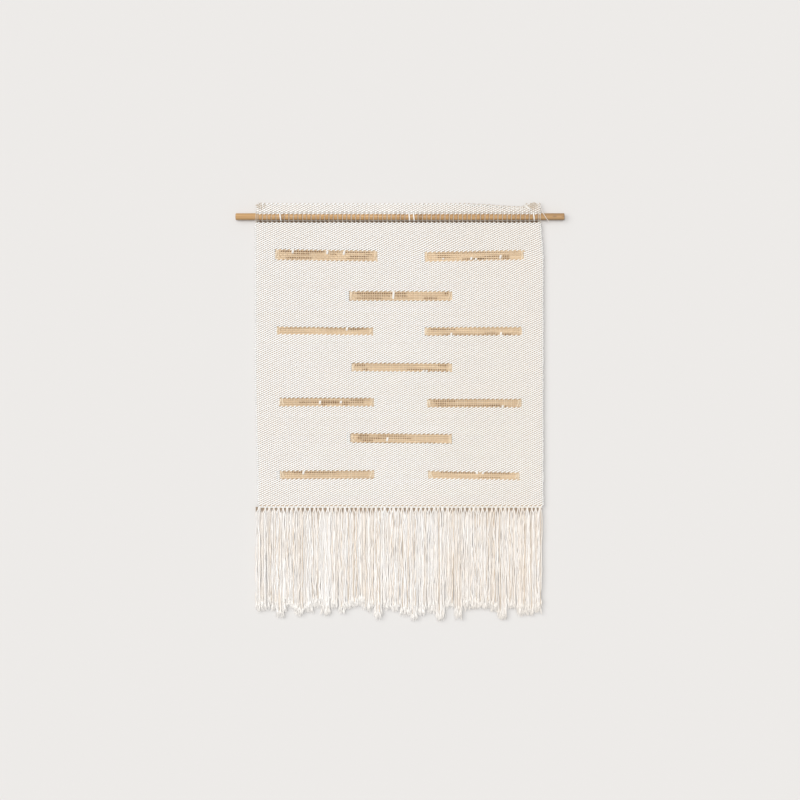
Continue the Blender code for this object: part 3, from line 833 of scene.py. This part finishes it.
def weaveTree():
    tree, ins, outs = startTree("wovenYarns", "GeometryNodeTree", {
        "Picks": ("Int", 38), "First Pick": ("Float", 0.0), "Pick Pitch": ("Float", 0.00195),
        "Top": ("Float", 0.0), "Sway": ("Float", 0.001), "Half Height": ("Float", 0.0017),
        "Half Depth": ("Float", 0.0008), "Slant": ("Float", 0.0005), "Wander": ("Float", 0.0005),
        "Patches": ("Object", None), "Material": ("Material", None)}, {"Geometry": "Geometry"})
    steps = cloth["warps"] * weave["stepsPerWarp"]
    rows = minus(tree, ins["Picks"], 1.0)
    grid = addNode(tree, "GeometryNodeMeshGrid", {"Size X": float(steps), "Size Y": rows,
                                                  "Vertices X": steps + 1, "Vertices Y": ins["Picks"]})
    ends = addNode(tree, "GeometryNodeInputMeshEdgeVertices").outputs
    rise = minus(tree, splitVector(tree, ends["Position 1"])["Y"], splitVector(tree, ends["Position 2"])["Y"])
    upright = calc(tree, "GREATER_THAN", calc(tree, "ABSOLUTE", rise), 0.5)
    lines = addNode(tree, "GeometryNodeDeleteGeometry", {
        "Geometry": grid.outputs["Mesh"], "Selection": upright}, domain="EDGE", mode="EDGE_FACE").outputs[0]
    axes = splitVector(tree, addNode(tree, "GeometryNodeInputPosition").outputs[0])
    column = calc(tree, "ROUND", plus(tree, axes["X"], steps / 2))
    row = calc(tree, "ROUND", plus(tree, axes["Y"], times(tree, rows, 0.5)))
    lines = keep(tree, lines, "warpNo", calc(tree, "DIVIDE", column, float(weave["stepsPerWarp"])))
    lines = keep(tree, lines, "pickNo", plus(tree, row, ins["First Pick"]))

    warp = recall(tree, "warpNo")     # where each point of the plain cloth is
    pick = recall(tree, "pickNo")
    turn = times(tree, warp, math.pi)
    wave = calc(tree, "COSINE", turn)
    lean = calc(tree, "SINE", turn)
    parity = minus(tree, times(tree, calc(tree, "MODULO", pick, 2.0), 2.0), 1.0)
    lift = calc(tree, "POWER", calc(tree, "ABSOLUTE", wave), weave["crown"])
    front = plus(tree, times(tree, times(tree, lift, calc(tree, "SIGN", wave)), parity), weave["forward"])
    z = minus(tree, ins["Top"], times(tree, pick, ins["Pick Pitch"]))
    share = calc(tree, "DIVIDE", minus(tree, hingeZ, z), panelLength)
    left = plus(tree, clothLeft, eased(tree, share, cloth["leftFrom"], 1.0, 0.0, cloth["leftIn"]))
    right = plus(tree, clothRight, eased(tree, share, 0.0, cloth["rightFrom"], 0.0, cloth["rightOut"]))
    across = calc(tree, "DIVIDE", warp, float(cloth["warps"]))
    x = plus(tree, left, times(tree, minus(tree, right, left), across))

    drift = cloudNode(tree, joinVector(tree, x, 0.0, z), weave["driftScale"], 2.0)["Color"]
    driftAxes = splitVector(tree, drift)          # the cloth's unevenness, large and small
    patch = eased(tree, driftAxes["Z"], 0.34, 0.46, weave["slantLeast"], weave["slantMost"])
    yarn = cloudNode(tree, joinVector(tree, times(tree, warp, 0.35), pick, 3.0), 1.0, 1.0)["Fac"]
    xOut = plus(tree, x, times(tree, minus(tree, driftAxes["Y"], 0.5), ins["Wander"]))
    zOut = plus(tree, z, times(tree, minus(tree, driftAxes["X"], 0.5), ins["Wander"]))
    zOut = plus(tree, zOut, times(tree, times(tree, lean, parity), times(tree, ins["Slant"], patch)))
    zOut = plus(tree, zOut, times(tree, minus(tree, yarn, 0.5), weave["stir"]))
    yOut = times(tree, front, times(tree, ins["Sway"], -1.0))
    yOut = times(tree, yOut, plus(tree, 0.75, times(tree, yarn, 0.5)))
    moved = addNode(tree, "GeometryNodeSetPosition", {
        "Geometry": lines, "Position": joinVector(tree, xOut, yOut, zOut)}).outputs[0]
    # lift: how far forward the yarn lies; where it is low the yarn is painted in shade, for the pits between
    # floats
    moved = keep(tree, moved, "lift", plus(tree, 0.48, times(tree, front, 0.5)))
    fullness = plus(tree, weave["waist"], times(tree, lift, 1.0 - weave["waist"]))
    unevenness = plus(tree, 0.86, times(tree, yarn, 0.28))
    moved = keep(tree, moved, "girth", times(tree, fullness, unevenness))
    dice = addNode(tree, "FunctionNodeRandomValue", {"ID": pick, "Seed": 5}, data_type="FLOAT")
    moved = keep(tree, moved, "tone", dice.outputs[1])

    patches = addNode(tree, "GeometryNodeObjectInfo", {"Object": ins["Patches"]}).outputs["Geometry"]
    spot = splitVector(tree, addNode(tree, "GeometryNodeInputPosition").outputs[0])
    near = addNode(tree, "GeometryNodeProximity", {
        "Geometry": patches, "Sample Position": joinVector(tree, spot["X"], 0.0, z)}, target_element="FACES")
    cut = addNode(tree, "GeometryNodeDeleteGeometry", {
        "Geometry": moved, "Selection": calc(tree, "LESS_THAN", near.outputs["Distance"], 0.0004)},
        domain="POINT", mode="ALL").outputs[0]
    strands = addNode(tree, "GeometryNodeMeshToCurve", {"Mesh": cut}).outputs[0]
    tubes = spunTubes(tree, strands, ins["Half Depth"], ins["Half Height"], weave["sides"], "Z_UP")
    endTree(tree, outs, tubes, ins["Material"])
    return tree


wovenYarns = weaveTree()


def weaveBand(name, first, count, top, patches):
    return growMesh(name, wovenYarns, {
        "Picks": count, "First Pick": float(first), "Pick Pitch": weftPitch, "Top": top,
        "Sway": weave["sway"], "Half Height": weave["halfHeight"], "Half Depth": weave["halfDepth"],
        "Slant": weave["slant"], "Wander": weave["wander"], "Patches": patches, "Material": cottonOf["weft"]})


def makeWeave(patches):
    bands = []
    perBand = math.ceil(cloth["picks"] / weave["bands"])
    for number in range(weave["bands"]):
        first = number * perBand
        band = weaveBand(f"weft_{number + 1}", first, min(perBand, cloth["picks"] - first), weaveTop, patches)
        reshape(band, leanWithInlays)
        paleBack(band, weave["paleFrom"], weave["paleTo"])
        bands.append(settle(band, "cotton_weft", "panel" if number else "bend"))
    return bands


heading = {
    "picks": 10,
    "overRod": -0.0008,       # its lowest pick's height over the rod's top
    "hug": 0.0009, "hugMost": 0.0042,
    "cornerWide": 0.0045, "cornerTall": 0.006, "cornerDrop": 0.0026, "cornerIn": 0.0014,
    "rollFrom": 0.66, "rollFull": 0.94, "rollStops": (0.935, 0.955),      # shares across the cloth
    "foldDeep": 0.0070, "rollRadius": 0.0011, "rollStir": 0.0006, "groundBelow": 0.0035,
    # painted shade on the rolled part: where its warmer tint starts and ends across the cloth, how strong the
    # tint is, and how much darker it gets
    "rollShadeFrom": 0.45, "rollShadeTo": 0.85, "warmedRight": 1.6, "shaded": 0.30,
    "shadeSpots": ((0.010, 0.0215, 0.0085, 0.0060), (0.974, 0.0180, 0.0095, 0.0085)),    # patches of painted shade at both corners: share, height, spreads
    "shadeSpotDepth": 0.62,
}


def rollDepth(x):                     # how deep the top edge is rolled in, along the cloth
    share = (x - clothLeft) / clothWidth
    rolled = smoothShare(share, heading["rollFrom"], heading["rollFull"]) ** 1.4
    return rolled * (1 - smoothShare(share, *heading["rollStops"]))


def headingFold(places):              # the lowest picks ride on the rod, the top edge rolls forward
    x, y, z = places[:, 0], places[:, 1], places[:, 2]
    moved = places.copy()
    hug = rodRadius + heading["hug"]
    onRod = np.sqrt(np.maximum(hug ** 2 - np.minimum(z, hug) ** 2, 0.0))
    moved[:, 1] -= np.minimum(onRod, heading["hugMost"])
    corner = np.exp(-((x - clothLeft) / heading["cornerWide"]) ** 2)
    corner = corner * smoothShare(z, headingHigh.z - heading["cornerTall"], headingHigh.z)
    moved[:, 2] -= heading["cornerDrop"] * corner
    moved[:, 0] += heading["cornerIn"] * corner
    rolled = rollDepth(x)
    wobble = np.array([waver(a * 40, 3.0) for a in x]) * heading["rollStir"]
    foldZ = headingHigh.z - 0.0004 - heading["foldDeep"] * rolled + wobble * (rolled > 0)
    radius = heading["rollRadius"]
    over = np.maximum(z - foldZ, 0.0)
    angle = np.minimum(over / radius, math.pi)
    flap = np.maximum(over - math.pi * radius, 0.0)
    bent = (over > 0) & (rolled > 0.02)
    moved[bent, 1] = (-radius * (1 - np.cos(angle)) + y * np.cos(angle))[bent]
    moved[bent, 2] = (foldZ + radius * np.sin(angle) + y * np.sin(angle) - flap)[bent]
    return moved


def tuckUnderFold(places):            # the ground stays below the rolled edge
    moved = places.copy()
    edge = headingHigh.z - heading["groundBelow"] - heading["foldDeep"] * rollDepth(places[:, 0])
    moved[:, 2] = np.minimum(places[:, 2], edge)
    return moved


def shadeHeading(band):                # painted shade: its rolled part is warmer and darker, and both corners carry patches of painted shade
    places = readPlaces(band)
    x, z = places[:, 0], places[:, 2]
    share = (x - clothLeft) / clothWidth
    writeMark(band, "tone", readMark(band, "tone")
              + heading["warmedRight"] * smoothShare(share, heading["rollShadeFrom"], heading["rollShadeTo"]))
    lift = readMark(band, "lift") - heading["shaded"] * smoothShare(share, 0.50, heading["rollShadeTo"])
    blotch = np.array([0.75 + 0.5 * waver(a * 170, b * 260, 4.0) for a, b in zip(x, z)])
    for at, height, wide, tall in heading["shadeSpots"]:
        near = np.exp(-((share - at) * clothWidth / wide) ** 2 - ((z - height) / tall) ** 2)
        lift -= heading["shadeSpotDepth"] * near * blotch
    writeMark(band, "lift", lift)


def makeHeading(patches):
    top = rodHigh.z + heading["overRod"] + (heading["picks"] - 1) * weftPitch
    band = weaveBand("headingWeave", 0, heading["picks"], top, patches)
    paleBack(band, weave["paleFrom"], weave["paleTo"])
    reshape(band, headingFold)
    shadeHeading(band)
    return settle(band, "cotton_weft", "heading", "heading_band")


strawPatches = inlayPatches()
weftBands = makeWeave(strawPatches)
headingWeave = makeHeading(strawPatches)
bpy.data.objects.remove(strawPatches)
print("the weave is made")


# ---- selvedges: the weft turning round the outermost warps

selvedge = {"out": 0.0015, "steps": 8, "halfDepth": 0.0008, "halfHeight": 0.0014,
            "left": {"seed": 71, "first": 1, "way": -1}, "right": {"seed": 72, "first": 0, "way": 1}}


def makeSelvedge(side):
    spec = selvedge[side]
    dice = random.Random(spec["seed"])
    loops = []
    for pick in range(spec["first"], cloth["picks"] - 1, 2):
        out = spec["way"] * selvedge["out"] * (0.6 + 0.8 * dice.random())

        def place(t):
            z = weaveTop - (pick + t) * weftPitch
            x = clothEdges(z)[0 if side == "left" else 1] + out * math.sin(math.pi * t)
            return x, weave["sway"] * spec["way"] * math.cos(math.pi * t), z

        loops.append({"points": along(selvedge["steps"], place), "tone": dice.random() * 0.4, "lift": 1.0,
                      "girth": 0.9 + 0.15 * dice.random()})
    piece = makeYarns("selvedgeLoops_" + side, loops, (selvedge["halfDepth"], selvedge["halfHeight"]),
                      cottonOf["weft"], 6, "turning")
    return settle(piece, "cotton_weft", "panel", "selvedge_" + side)


selvedges = [makeSelvedge("left"), makeSelvedge("right")]


# ---- ground: the warp layer as a thin sheet in painted shade, with a slot at each inlay

ground = {"thick": 0.0003, "columns": 64, "rowHeight": 0.0040, "inset": 0.0018, "slotX": 0.0005,
          "slotZ": 0.0004, "panelTop": 0.0040, "panelEnd": 0.0034, "headingEnd": 0.0012}


def groundSheet(name, top, bottom):
    rows = max(2, round((top - bottom) / ground["rowHeight"]))
    bm = bmesh.new()
    grid = []
    for j in range(rows + 1):
        z = top + (bottom - top) * j / rows
        left, right = clothEdges(min(z, hingeZ))
        start, span = left + ground["inset"], right - left - 2 * ground["inset"]
        grid.append([bm.verts.new((start + span * i / ground["columns"], ground["thick"] / 2, z))
                     for i in range(ground["columns"] + 1)])
    boxes = [inlayBox(inlay) for inlay in inlays]
    slotX, slotZ = ground["slotX"], ground["slotZ"]
    for j in range(rows):
        for i in range(ground["columns"]):
            corners = (grid[j][i], grid[j + 1][i], grid[j + 1][i + 1], grid[j][i + 1])
            x = [v.co.x for v in corners]
            z = [v.co.z for v in corners]
            slot = any(max(x) > left + slotX and min(x) < right - slotX
                       and max(z) > low + slotZ and min(z) < high - slotZ for left, right, high, low in boxes)
            if not slot:
                bm.faces.new(corners)
    bmesh.ops.delete(bm, geom=[v for v in bm.verts if not v.link_faces], context="VERTS")
    bmesh.ops.recalc_face_normals(bm, faces=bm.faces)
    bmesh.ops.solidify(bm, geom=bm.faces[:], thickness=ground["thick"])
    bmesh.ops.recalc_face_normals(bm, faces=bm.faces)
    piece = addMesh(name, bm)
    piece.data.materials.append(groundShade)
    reshape(piece, leanWithInlays)
    return piece


# ---- the rod

rod = {"sides": 48, "rings": 190, "wobble": 0.00010, "swell": 0.00012, "chamfer": 0.0007, "sharpAngle": 40,
       "nodes": ((0.140, 0.0035, 0.9), (0.352, 0.0012, 0.35), (0.505, 0.0012, 0.4), (0.561, 0.0036, 1.0),
                 (0.747, 0.0016, 0.6)),           # share along it, width, strength
       "knots": ((0.970, 0.0, 0.0022, 0.0012), (0.9965, 0.0, 0.0016, 0.0012), (0.60, 0.4, 0.002, 0.0008)),
       "bandTone": 0.75, "knotTone": 0.95, "endTone": 0.28, "streaks": 0.42,
       "pale": (0.63, 0.40, 0.192), "deep": (0.475, 0.272, 0.108), "streak": (0.32, 0.175, 0.075),
       "burnt": (0.20, 0.12, 0.07)}


def rodMaterial():
    material, tree, shader = newMaterial("rodWood")
    grain, streak = grainNode(tree, 9.0, 430.0, 2.4)
    pale, deep, streaked, burnt = ((*rod[label], 1.0) for label in ("pale", "deep", "streak", "burnt"))
    body = mixColours(tree, grain, pale, deep)
    body = mixColours(tree, times(tree, streak, rod["streaks"]), body, streaked)
    body = mixColours(tree, markNode(tree, "tone"), body, burnt)
    finishShader(tree, shader, body, eased(tree, grain, 0.2, 0.8, 0.42, 0.62), 0.35)
    addBump(tree, shader, grain, 0.3, 0.0002)
    return material


def makeRod():
    bm = bmesh.new()
    mark = bm.verts.layers.float.new("tone")
    length = rodHigh.x - rodLow.x
    cut = rod["chamfer"]
    stations = [(0.0, rodRadius - cut), (cut * 0.35, rodRadius - cut * 0.35), (cut, rodRadius)]
    middle = [(cut + (length - 2 * cut) * i / rod["rings"], rodRadius) for i in range(1, rod["rings"])]
    stations = stations + middle + [(length - s, r) for s, r in reversed(stations)]
    rings = []
    for reach, radius in stations:
        share = reach / length
        band = max(amount * math.exp(-((share - at) * length / width) ** 2)
                   for at, width, amount in rod["nodes"])
        ring = []
        for k in range(rod["sides"]):
            angle = 2 * math.pi * k / rod["sides"]
            y, z = -math.cos(angle), math.sin(angle)
            swell = rod["wobble"] * (waver(reach * 18, y * 1.2, z * 1.2) - 0.6) + rod["swell"] * band
            vert = bm.verts.new((rodLow.x + reach, (radius + swell) * y, (radius + swell) * z))
            spot = 0.0
            if y < 0:                 # knots show only in front
                spot = max(math.exp(-((share - at) * length / wide) ** 2
                                    - ((z - height) * rodRadius / tall) ** 2)
                           for at, height, wide, tall in rod["knots"])
            patchy = 0.6 + 0.4 * (0.5 + 0.5 * waver(reach * 400, angle * 2.0, 2.0))
            tone = rod["bandTone"] * band * patchy + rod["knotTone"] * spot
            vert[mark] = min(1.0, tone + rod["endTone"] * float(smoothShare(share, 0.7, 0.98)))
            ring.append(vert)
        rings.append(ring)
    for a, b in zip(rings, rings[1:]):
        for k in range(rod["sides"]):
            n = (k + 1) % rod["sides"]
            bm.faces.new((a[k], a[n], b[n], b[k]))
    bm.faces.new(rings[0])
    bm.faces.new(rings[-1])
    bmesh.ops.recalc_face_normals(bm, faces=bm.faces)
    piece = addMesh("woodenRod", bm)
    piece.data.shade_smooth()
    piece.data.set_sharp_from_angle(angle=math.radians(rod["sharpAngle"]))
    piece.data.materials.append(rodMaterial())
    settle(piece, "rod_wood", "rod", "rod")


makeRod()


# ---- warps where they pass in front of the rod and behind it

overRod = {"radius": 0.00050, "gap": 0.00025, "hugAngle": 62, "arcSteps": 12, "ends": (0.0115, -0.0138),
           "inner": 0.0004, "sway": 0.0006, "lean": 0.0010, "edgeIn": 0.0006, "thin": 0.6}
doubled = {"at": (5, 34, 35, 62), "leans": (0.0020, 0.0012, 0.0020, 0.0020), "radius": 0.00085,
           "apart": 0.0009, "ends": (0.0084, -0.0080), "tone": 0.3}


def rodCrossing(x, side, radius, lean=0.0, ends=overRod["ends"]):   # side -1 is the front
    hug = rodRadius + radius + overRod["gap"]

    def place(share):
        angle = math.radians(overRod["hugAngle"] * (1 - 2 * share))
        return x + lean * (share - 0.5), side * hug * math.cos(angle), hug * math.sin(angle)

    inner = side * overRod["inner"]
    arc = along(overRod["arcSteps"], place)
    return [(x - lean / 2, inner, ends[0]), *arc, (x + lean / 2, inner, ends[1])]


def makeRodWarps():
    dice = random.Random(11)
    pairs = cloth["warps"] // 2
    radius = overRod["radius"]
    front, rear = [], []
    for k in range(pairs):
        if k not in doubled["at"]:
            lean = overRod["lean"] * (dice.random() - 0.5)
            x = warpX(2 * k + 1, hingeZ) + overRod["sway"] * (dice.random() - 0.5)
            front.append({"points": rodCrossing(x, -1, radius, lean), "tone": dice.random(),
                          "girth": 0.8 + 0.5 * dice.random()})
    for x in (clothLeft + overRod["edgeIn"], clothRight - overRod["edgeIn"]):
        front.append({"points": rodCrossing(x, -1, radius), "tone": 0.0, "girth": 1.3})
    for k in range(1, pairs):         # thin dark threads beside the light ones; their dark colour is painted shadow of the warps on the rod
        x = warpX(2 * k + 0.62 + 0.12 * dice.random(), hingeZ)
        front.append({"points": rodCrossing(x, -1, radius * overRod["thin"]),
                      "lift": 0.2 + 0.35 * dice.random(), "girth": 0.45 + 0.35 * dice.random()})
    for k in range(1, pairs):
        x = warpX(2 * k, hingeZ) + overRod["sway"] * (dice.random() - 0.5)
        rear.append({"points": rodCrossing(x, 1, radius), "tone": dice.random()})
    pieces = []
    for name, node, yarns in (("frontWarps", "front_warps", front), ("rearWarps", "rear_warps", rear)):
        piece = makeYarns(name, yarns, (radius, radius), cottonOf["warp"], 8, "turning")
        pieces.append(settle(piece, "cotton_warp", "bend", node))
    radius = doubled["radius"]
    for number, (k, lean) in enumerate(zip(doubled["at"], doubled["leans"]), 1):
        x = warpX(2 * k + 1, hingeZ)
        pair = [{"points": rodCrossing(x + side * doubled["apart"] / 2, -1, radius, lean, doubled["ends"]),
                 "tone": doubled["tone"]} for side in (-1, 1)]
        piece = makeYarns(f"doubledWarp_{number}", pair, (radius, radius), cottonOf["twine"], 8, "turning")
        pieces.append(settle(piece, "cotton_warp", "bend", f"doubled_warp_{number}"))
    return pieces


rodWarps = makeRodWarps()
print("rod and its warps are in place")


# ---- the cord under the rod, near-black as painted shade in the gap there, and the twined row that locks the last pick

headerCord = {"z": -0.0096, "y": 0.0016, "radius": 0.00105, "coil": 0.00075, "inset": 0.002}
twine = {"z": twineHigh.z - 0.0038, "y": -0.0008, "radius": 0.00086, "coil": 0.00072, "inset": 0.0006}
twist = {"stepsPerTurn": 10, "turns": cloth["warps"] // 2, "wander": 0.0003}


def twistedPair(name, left, right, spec, cotton):    # two strands that turn about each other along X
    left, right = left + spec["inset"], right - spec["inset"]
    strands = []
    for strand in range(2):
        def place(t):
            x = left + (right - left) * t
            angle = 2 * math.pi * twist["turns"] * t + math.pi * strand
            return (x, spec["y"] + spec["coil"] * math.cos(angle),
                    spec["z"] + spec["coil"] * math.sin(angle) + twist["wander"] * waver(x * 45))

        strands.append({"points": along(twist["turns"] * twist["stepsPerTurn"], place), "tone": 0.15 * strand,
                        "lift": 1.0})
    return makeYarns(name, strands, (spec["radius"], spec["radius"]), cottonOf[cotton], 8, "turning")


# a cord coloured near-black: painted shade in the gap under the rod
gapShade = twistedPair("headerCord", clothLeft, clothRight, headerCord, "gapShade")
settle(gapShade, "cotton_warp", "bend")
twinedCord = twistedPair("twinedCord", *clothEdges(panelLow.z), twine, "twine")
settle(twinedCord, "cotton_twining", "panel", "twined_row")


# ---- the fringe: bunches of soft strands, gathered in tassels that end in frayed tufts

fringe = {
    "sections": 8, "bunchesEach": 8, "steps": 34, "radius": 0.00094, "sides": 6,
    "front": (-0.42, -0.21, 0.0, 0.21, 0.42), "behind": (-0.5, -0.25, 0.0, 0.25),     # shares of a bunch
    "topDrop": 0.0036, "neck": 0.015, "neckStir": 0.0018,
    "layer": 0.0009, "behindBy": 0.0024,      # how deep its front and rear strands lie
    "wander": 0.0025, "homeStir": 0.0008, "flare": 0.0045, "flareBunches": 2.5,
    "gather": (0.05, 0.5), "gatherStir": 0.005, "closeIn": 0.55,
    "reach": 0.0055, "reachStir": 0.004, "endStir": 0.016,
    # fade and fadeFrom: depths below the cord over which the painted shade at the rear strands' tops fades
    # out
    "tight": (0.10, 0.35), "fade": (0.010, 0.020), "fadeFrom": 0.004,
    "tanShare": 0.65,                         # how often a bunch has a thin tan strand
    "bendAbove": 0.0034, "bendBelow": 0.012,
}
hair = {"count": 9, "radius": 0.00052, "length": 0.016, "root": 0.007, "aside": 0.0062, "depth": 0.0028,
        "bow": 0.0005, "steps": 5, "girth": (1.25, 0.55)}


def strandRoute(startX, homeX, tuftX, gather, topZ, endZ, layerY, dice):
    seed = dice.random() * 90
    sway = fringe["wander"] * (0.5 + 1.0 * dice.random())

    def place(t):
        z = topZ + (endZ - topZ) * t
        spread = smoothShare(topZ - z, 0.001, fringe["neck"])
        x = startX + (homeX - startX) * spread
        x += (tuftX - x) * smoothShare(t, 0.3, 1.0) * gather
        x += sway * spread * (waver(seed, z * 22) + 0.55 * waver(seed + 7, z * 75))
        return x, -0.0004 + layerY * (0.4 + 0.6 * spread) + 0.0006 * spread * waver(seed + 3, z * 35), z

    return along(fringe["steps"], place)


def frayedEnd(route, dice):           # the strand's last stretch opens into fine hairs
    last, before = Vector(route[-1]), Vector(route[-5])
    down = (last - before).normalized()
    root = last - down * hair["root"]
    hairs = []
    for k in range(hair["count"]):
        aside = Vector(((dice.random() - 0.5) * hair["aside"], (dice.random() - 0.5) * hair["depth"], 0.0))
        length = hair["length"] * (0.55 + 0.5 * dice.random())

        def place(t):
            bow = Vector((math.sin(t * 3 + k) * hair["bow"], 0, 0))
            return tuple(root + down * (length * t) + aside * (t ** 1.3) + bow * t)

        hairs.append({"points": along(hair["steps"], place), "tone": dice.random() * 0.25, "lift": 1.0,
                      "girth": np.linspace(*hair["girth"], hair["steps"] + 1)})
    return hairs


def bunchStrands(bunch, tuft, dice):  # one bunch's strands, and the hairs at their ends
    left, right = clothEdges(panelLow.z)
    pitch = (right - left) / (fringe["sections"] * fringe["bunchesEach"])
    bunchX = left + pitch * (bunch + 0.5)
    topZ = twineHigh.z - fringe["topDrop"]
    neckX = bunchX + fringe["neckStir"] * (dice.random() - 0.5)
    tightness = fringe["tight"][0] + fringe["tight"][1] * dice.random()
    fades = fringe["fade"][0] + fringe["fade"][1] * dice.random()
    strands, hairs = [], []
    for offset in fringe["front"] + fringe["behind"]:
        behind = offset in fringe["behind"]
        homeX = bunchX + pitch * offset + fringe["homeStir"] * (dice.random() - 0.5)
        homeX -= fringe["flare"] * max(0.0, 1.0 - bunch / fringe["flareBunches"])
        startX = homeX if behind else neckX + tightness * (homeX - bunchX)
        endZ = tuft["reach"] + (dice.random() - 0.3) * fringe["endStir"]
        layerY = fringe["behindBy"] if behind else fringe["layer"] * (dice.random() * 2 - 1)
        inX = tuft["x"] + (homeX - tuft["x"]) * fringe["closeIn"]
        route = strandRoute(startX, homeX, inX, tuft["gather"], topZ, endZ, layerY, dice)
        girth = np.concatenate((np.full(3, 0.85), np.full(fringe["steps"] - 5, 1.0), (0.95, 0.8, 0.6)))
        girth = girth * (1.30 if behind else 0.84 + 0.3 * dice.random())
        warm = 0.30 * dice.random() if behind else 0.9 * dice.random() ** 3 - 0.35
        depths = topZ - np.array(route)[:, 2]
        # the rear strands' tops are painted in shade under the cord, fading out lower down
        shaded = 0.22 + 0.78 * smoothShare(depths, fringe["fadeFrom"], fades) if behind else 1.0
        strands.append({"points": route, "girth": girth, "tone": warm, "lift": shaded})
        hairs.extend(frayedEnd(route, dice))
    if dice.random() < fringe["tanShare"]:
        homeX = bunchX + pitch * (dice.random() - 0.5)
        inX = tuft["x"] + (homeX - tuft["x"]) * fringe["closeIn"]
        endZ = tuft["reach"] + 0.01 * dice.random()
        route = strandRoute(neckX, homeX, inX, tuft["gather"], topZ, endZ, -fringe["layer"], dice)
        strands.append({"points": route, "girth": 0.5 + 0.25 * dice.random(),
                        "tone": 0.9 + 0.6 * dice.random(), "lift": 0.8})
    return strands, hairs


def makeFringe():
    made = []
    for section in range(fringe["sections"]):
        dice = random.Random(200 + section)
        strands, hairs, tassels = [], [], []
        for bunch in range(section * fringe["bunchesEach"], (section + 1) * fringe["bunchesEach"]):
            if bunch % 2 == 0:        # two bunches share a tassel
                tassels.append(f"tassel_{bunch // 2 + 1:02d}")
                low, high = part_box(tassels[-1])
                tuft = {"gather": fringe["gather"][0] + fringe["gather"][1] * dice.random(),
                        "x": (low.x + high.x) / 2 + fringe["gatherStir"] * (dice.random() - 0.5),
                        "reach": low.z + fringe["reach"] + fringe["reachStir"] * (dice.random() - 0.5)}
            more, ends = bunchStrands(bunch, tuft, dice)
            strands.extend(more)
            hairs.extend(ends)
        body = makeYarns(f"strands_{section + 1}", strands, (fringe["radius"],) * 2, cottonOf["fringe"],
                         fringe["sides"], "round")
        tips = makeYarns(f"hairs_{section + 1}", hairs, (hair["radius"],) * 2, cottonOf["tuft"], 4, "round")
        piece = joinPieces(f"fringeSection_{section + 1}", [body, tips])
        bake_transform(piece)
        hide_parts(*tassels)
        made.append(piece)
    return made


fringeSections = makeFringe()
print("fringe is knotted on")


# ---- matted fibres at the heading's corners

felt = {"left": {"at": (0.016, 0.0195), "size": (0.0110, 0.0055), "fibres": 40, "cotton": "felt"},
        "right": {"at": (0.977, 0.0200), "size": (0.0095, 0.0050), "fibres": 40, "cotton": "felt"},
        "tuft": {"at": (0.955, 0.0168), "size": (0.0058, 0.0017), "fibres": 110, "cotton": "twine",
                 "slope": -0.7}}      # a patch with a slope is combed and stands out further
fibre = {"radius": 0.00034, "half": 0.0024, "out": 0.0014, "outMore": 0.0009, "combedOut": 0.0010,
         "curl": 0.0005}


def makeFelt(name, patch, seed):
    dice = random.Random(seed)
    share, middleZ = patch["at"]
    middleX = clothLeft + clothWidth * share
    combed = "slope" in patch
    slope = patch.get("slope", 0.0)
    fibres = []
    for _ in range(patch["fibres"]):
        angle, far = dice.random() * 2 * math.pi, dice.random() ** 0.8
        u, v = patch["size"][0] * far * math.cos(angle), patch["size"][1] * far * math.sin(angle)
        x = middleX + u * math.cos(slope) - v * math.sin(slope)
        x = min(max(x, clothLeft + 0.001), clothRight - 0.001)
        centre = Vector((x, 0, middleZ + u * math.sin(slope) + v * math.cos(slope)))
        turn = slope + 0.4 * (dice.random() - 0.5) if combed else dice.random() * math.pi
        run = Vector((math.cos(turn), 0, math.sin(turn))) * fibre["half"]
        depth = -fibre["out"] - dice.random() * fibre["outMore"] - fibre["combedOut"] * combed

        def place(t):
            t = 2 * t - 1
            bow = Vector((0, depth + fibre["curl"] * t * t, fibre["curl"] * math.sin(t * 3 + turn)))
            return tuple(centre + run * t + bow)

        fibres.append({"points": along(4, place), "tone": dice.random(), "lift": 1.0,
                       "girth": 0.7 + 0.6 * dice.random()})
    piece = makeYarns("felt_" + name, fibres, (fibre["radius"],) * 2, cottonOf[patch["cotton"]], 4, "round")
    return settle(piece, "cotton_weft", "heading")


feltPieces = [makeFelt(name, patch, 300 + i) for i, (name, patch) in enumerate(felt.items())]


# ---- the two sheets of cloth and what goes with them

panelGround = groundSheet("panelGround", hingeZ - ground["panelTop"], twineHigh.z - ground["panelEnd"])
settle(panelGround, "cotton_warp", "panel", "woven_panel")
headingGround = groundSheet("headingGround", headingHigh.z - heading["groundBelow"],
                            headingLow.z - ground["headingEnd"])
reshape(headingGround, tuckUnderFold)
settle(headingGround, "cotton_warp", "heading")
print("the cloth is hung")
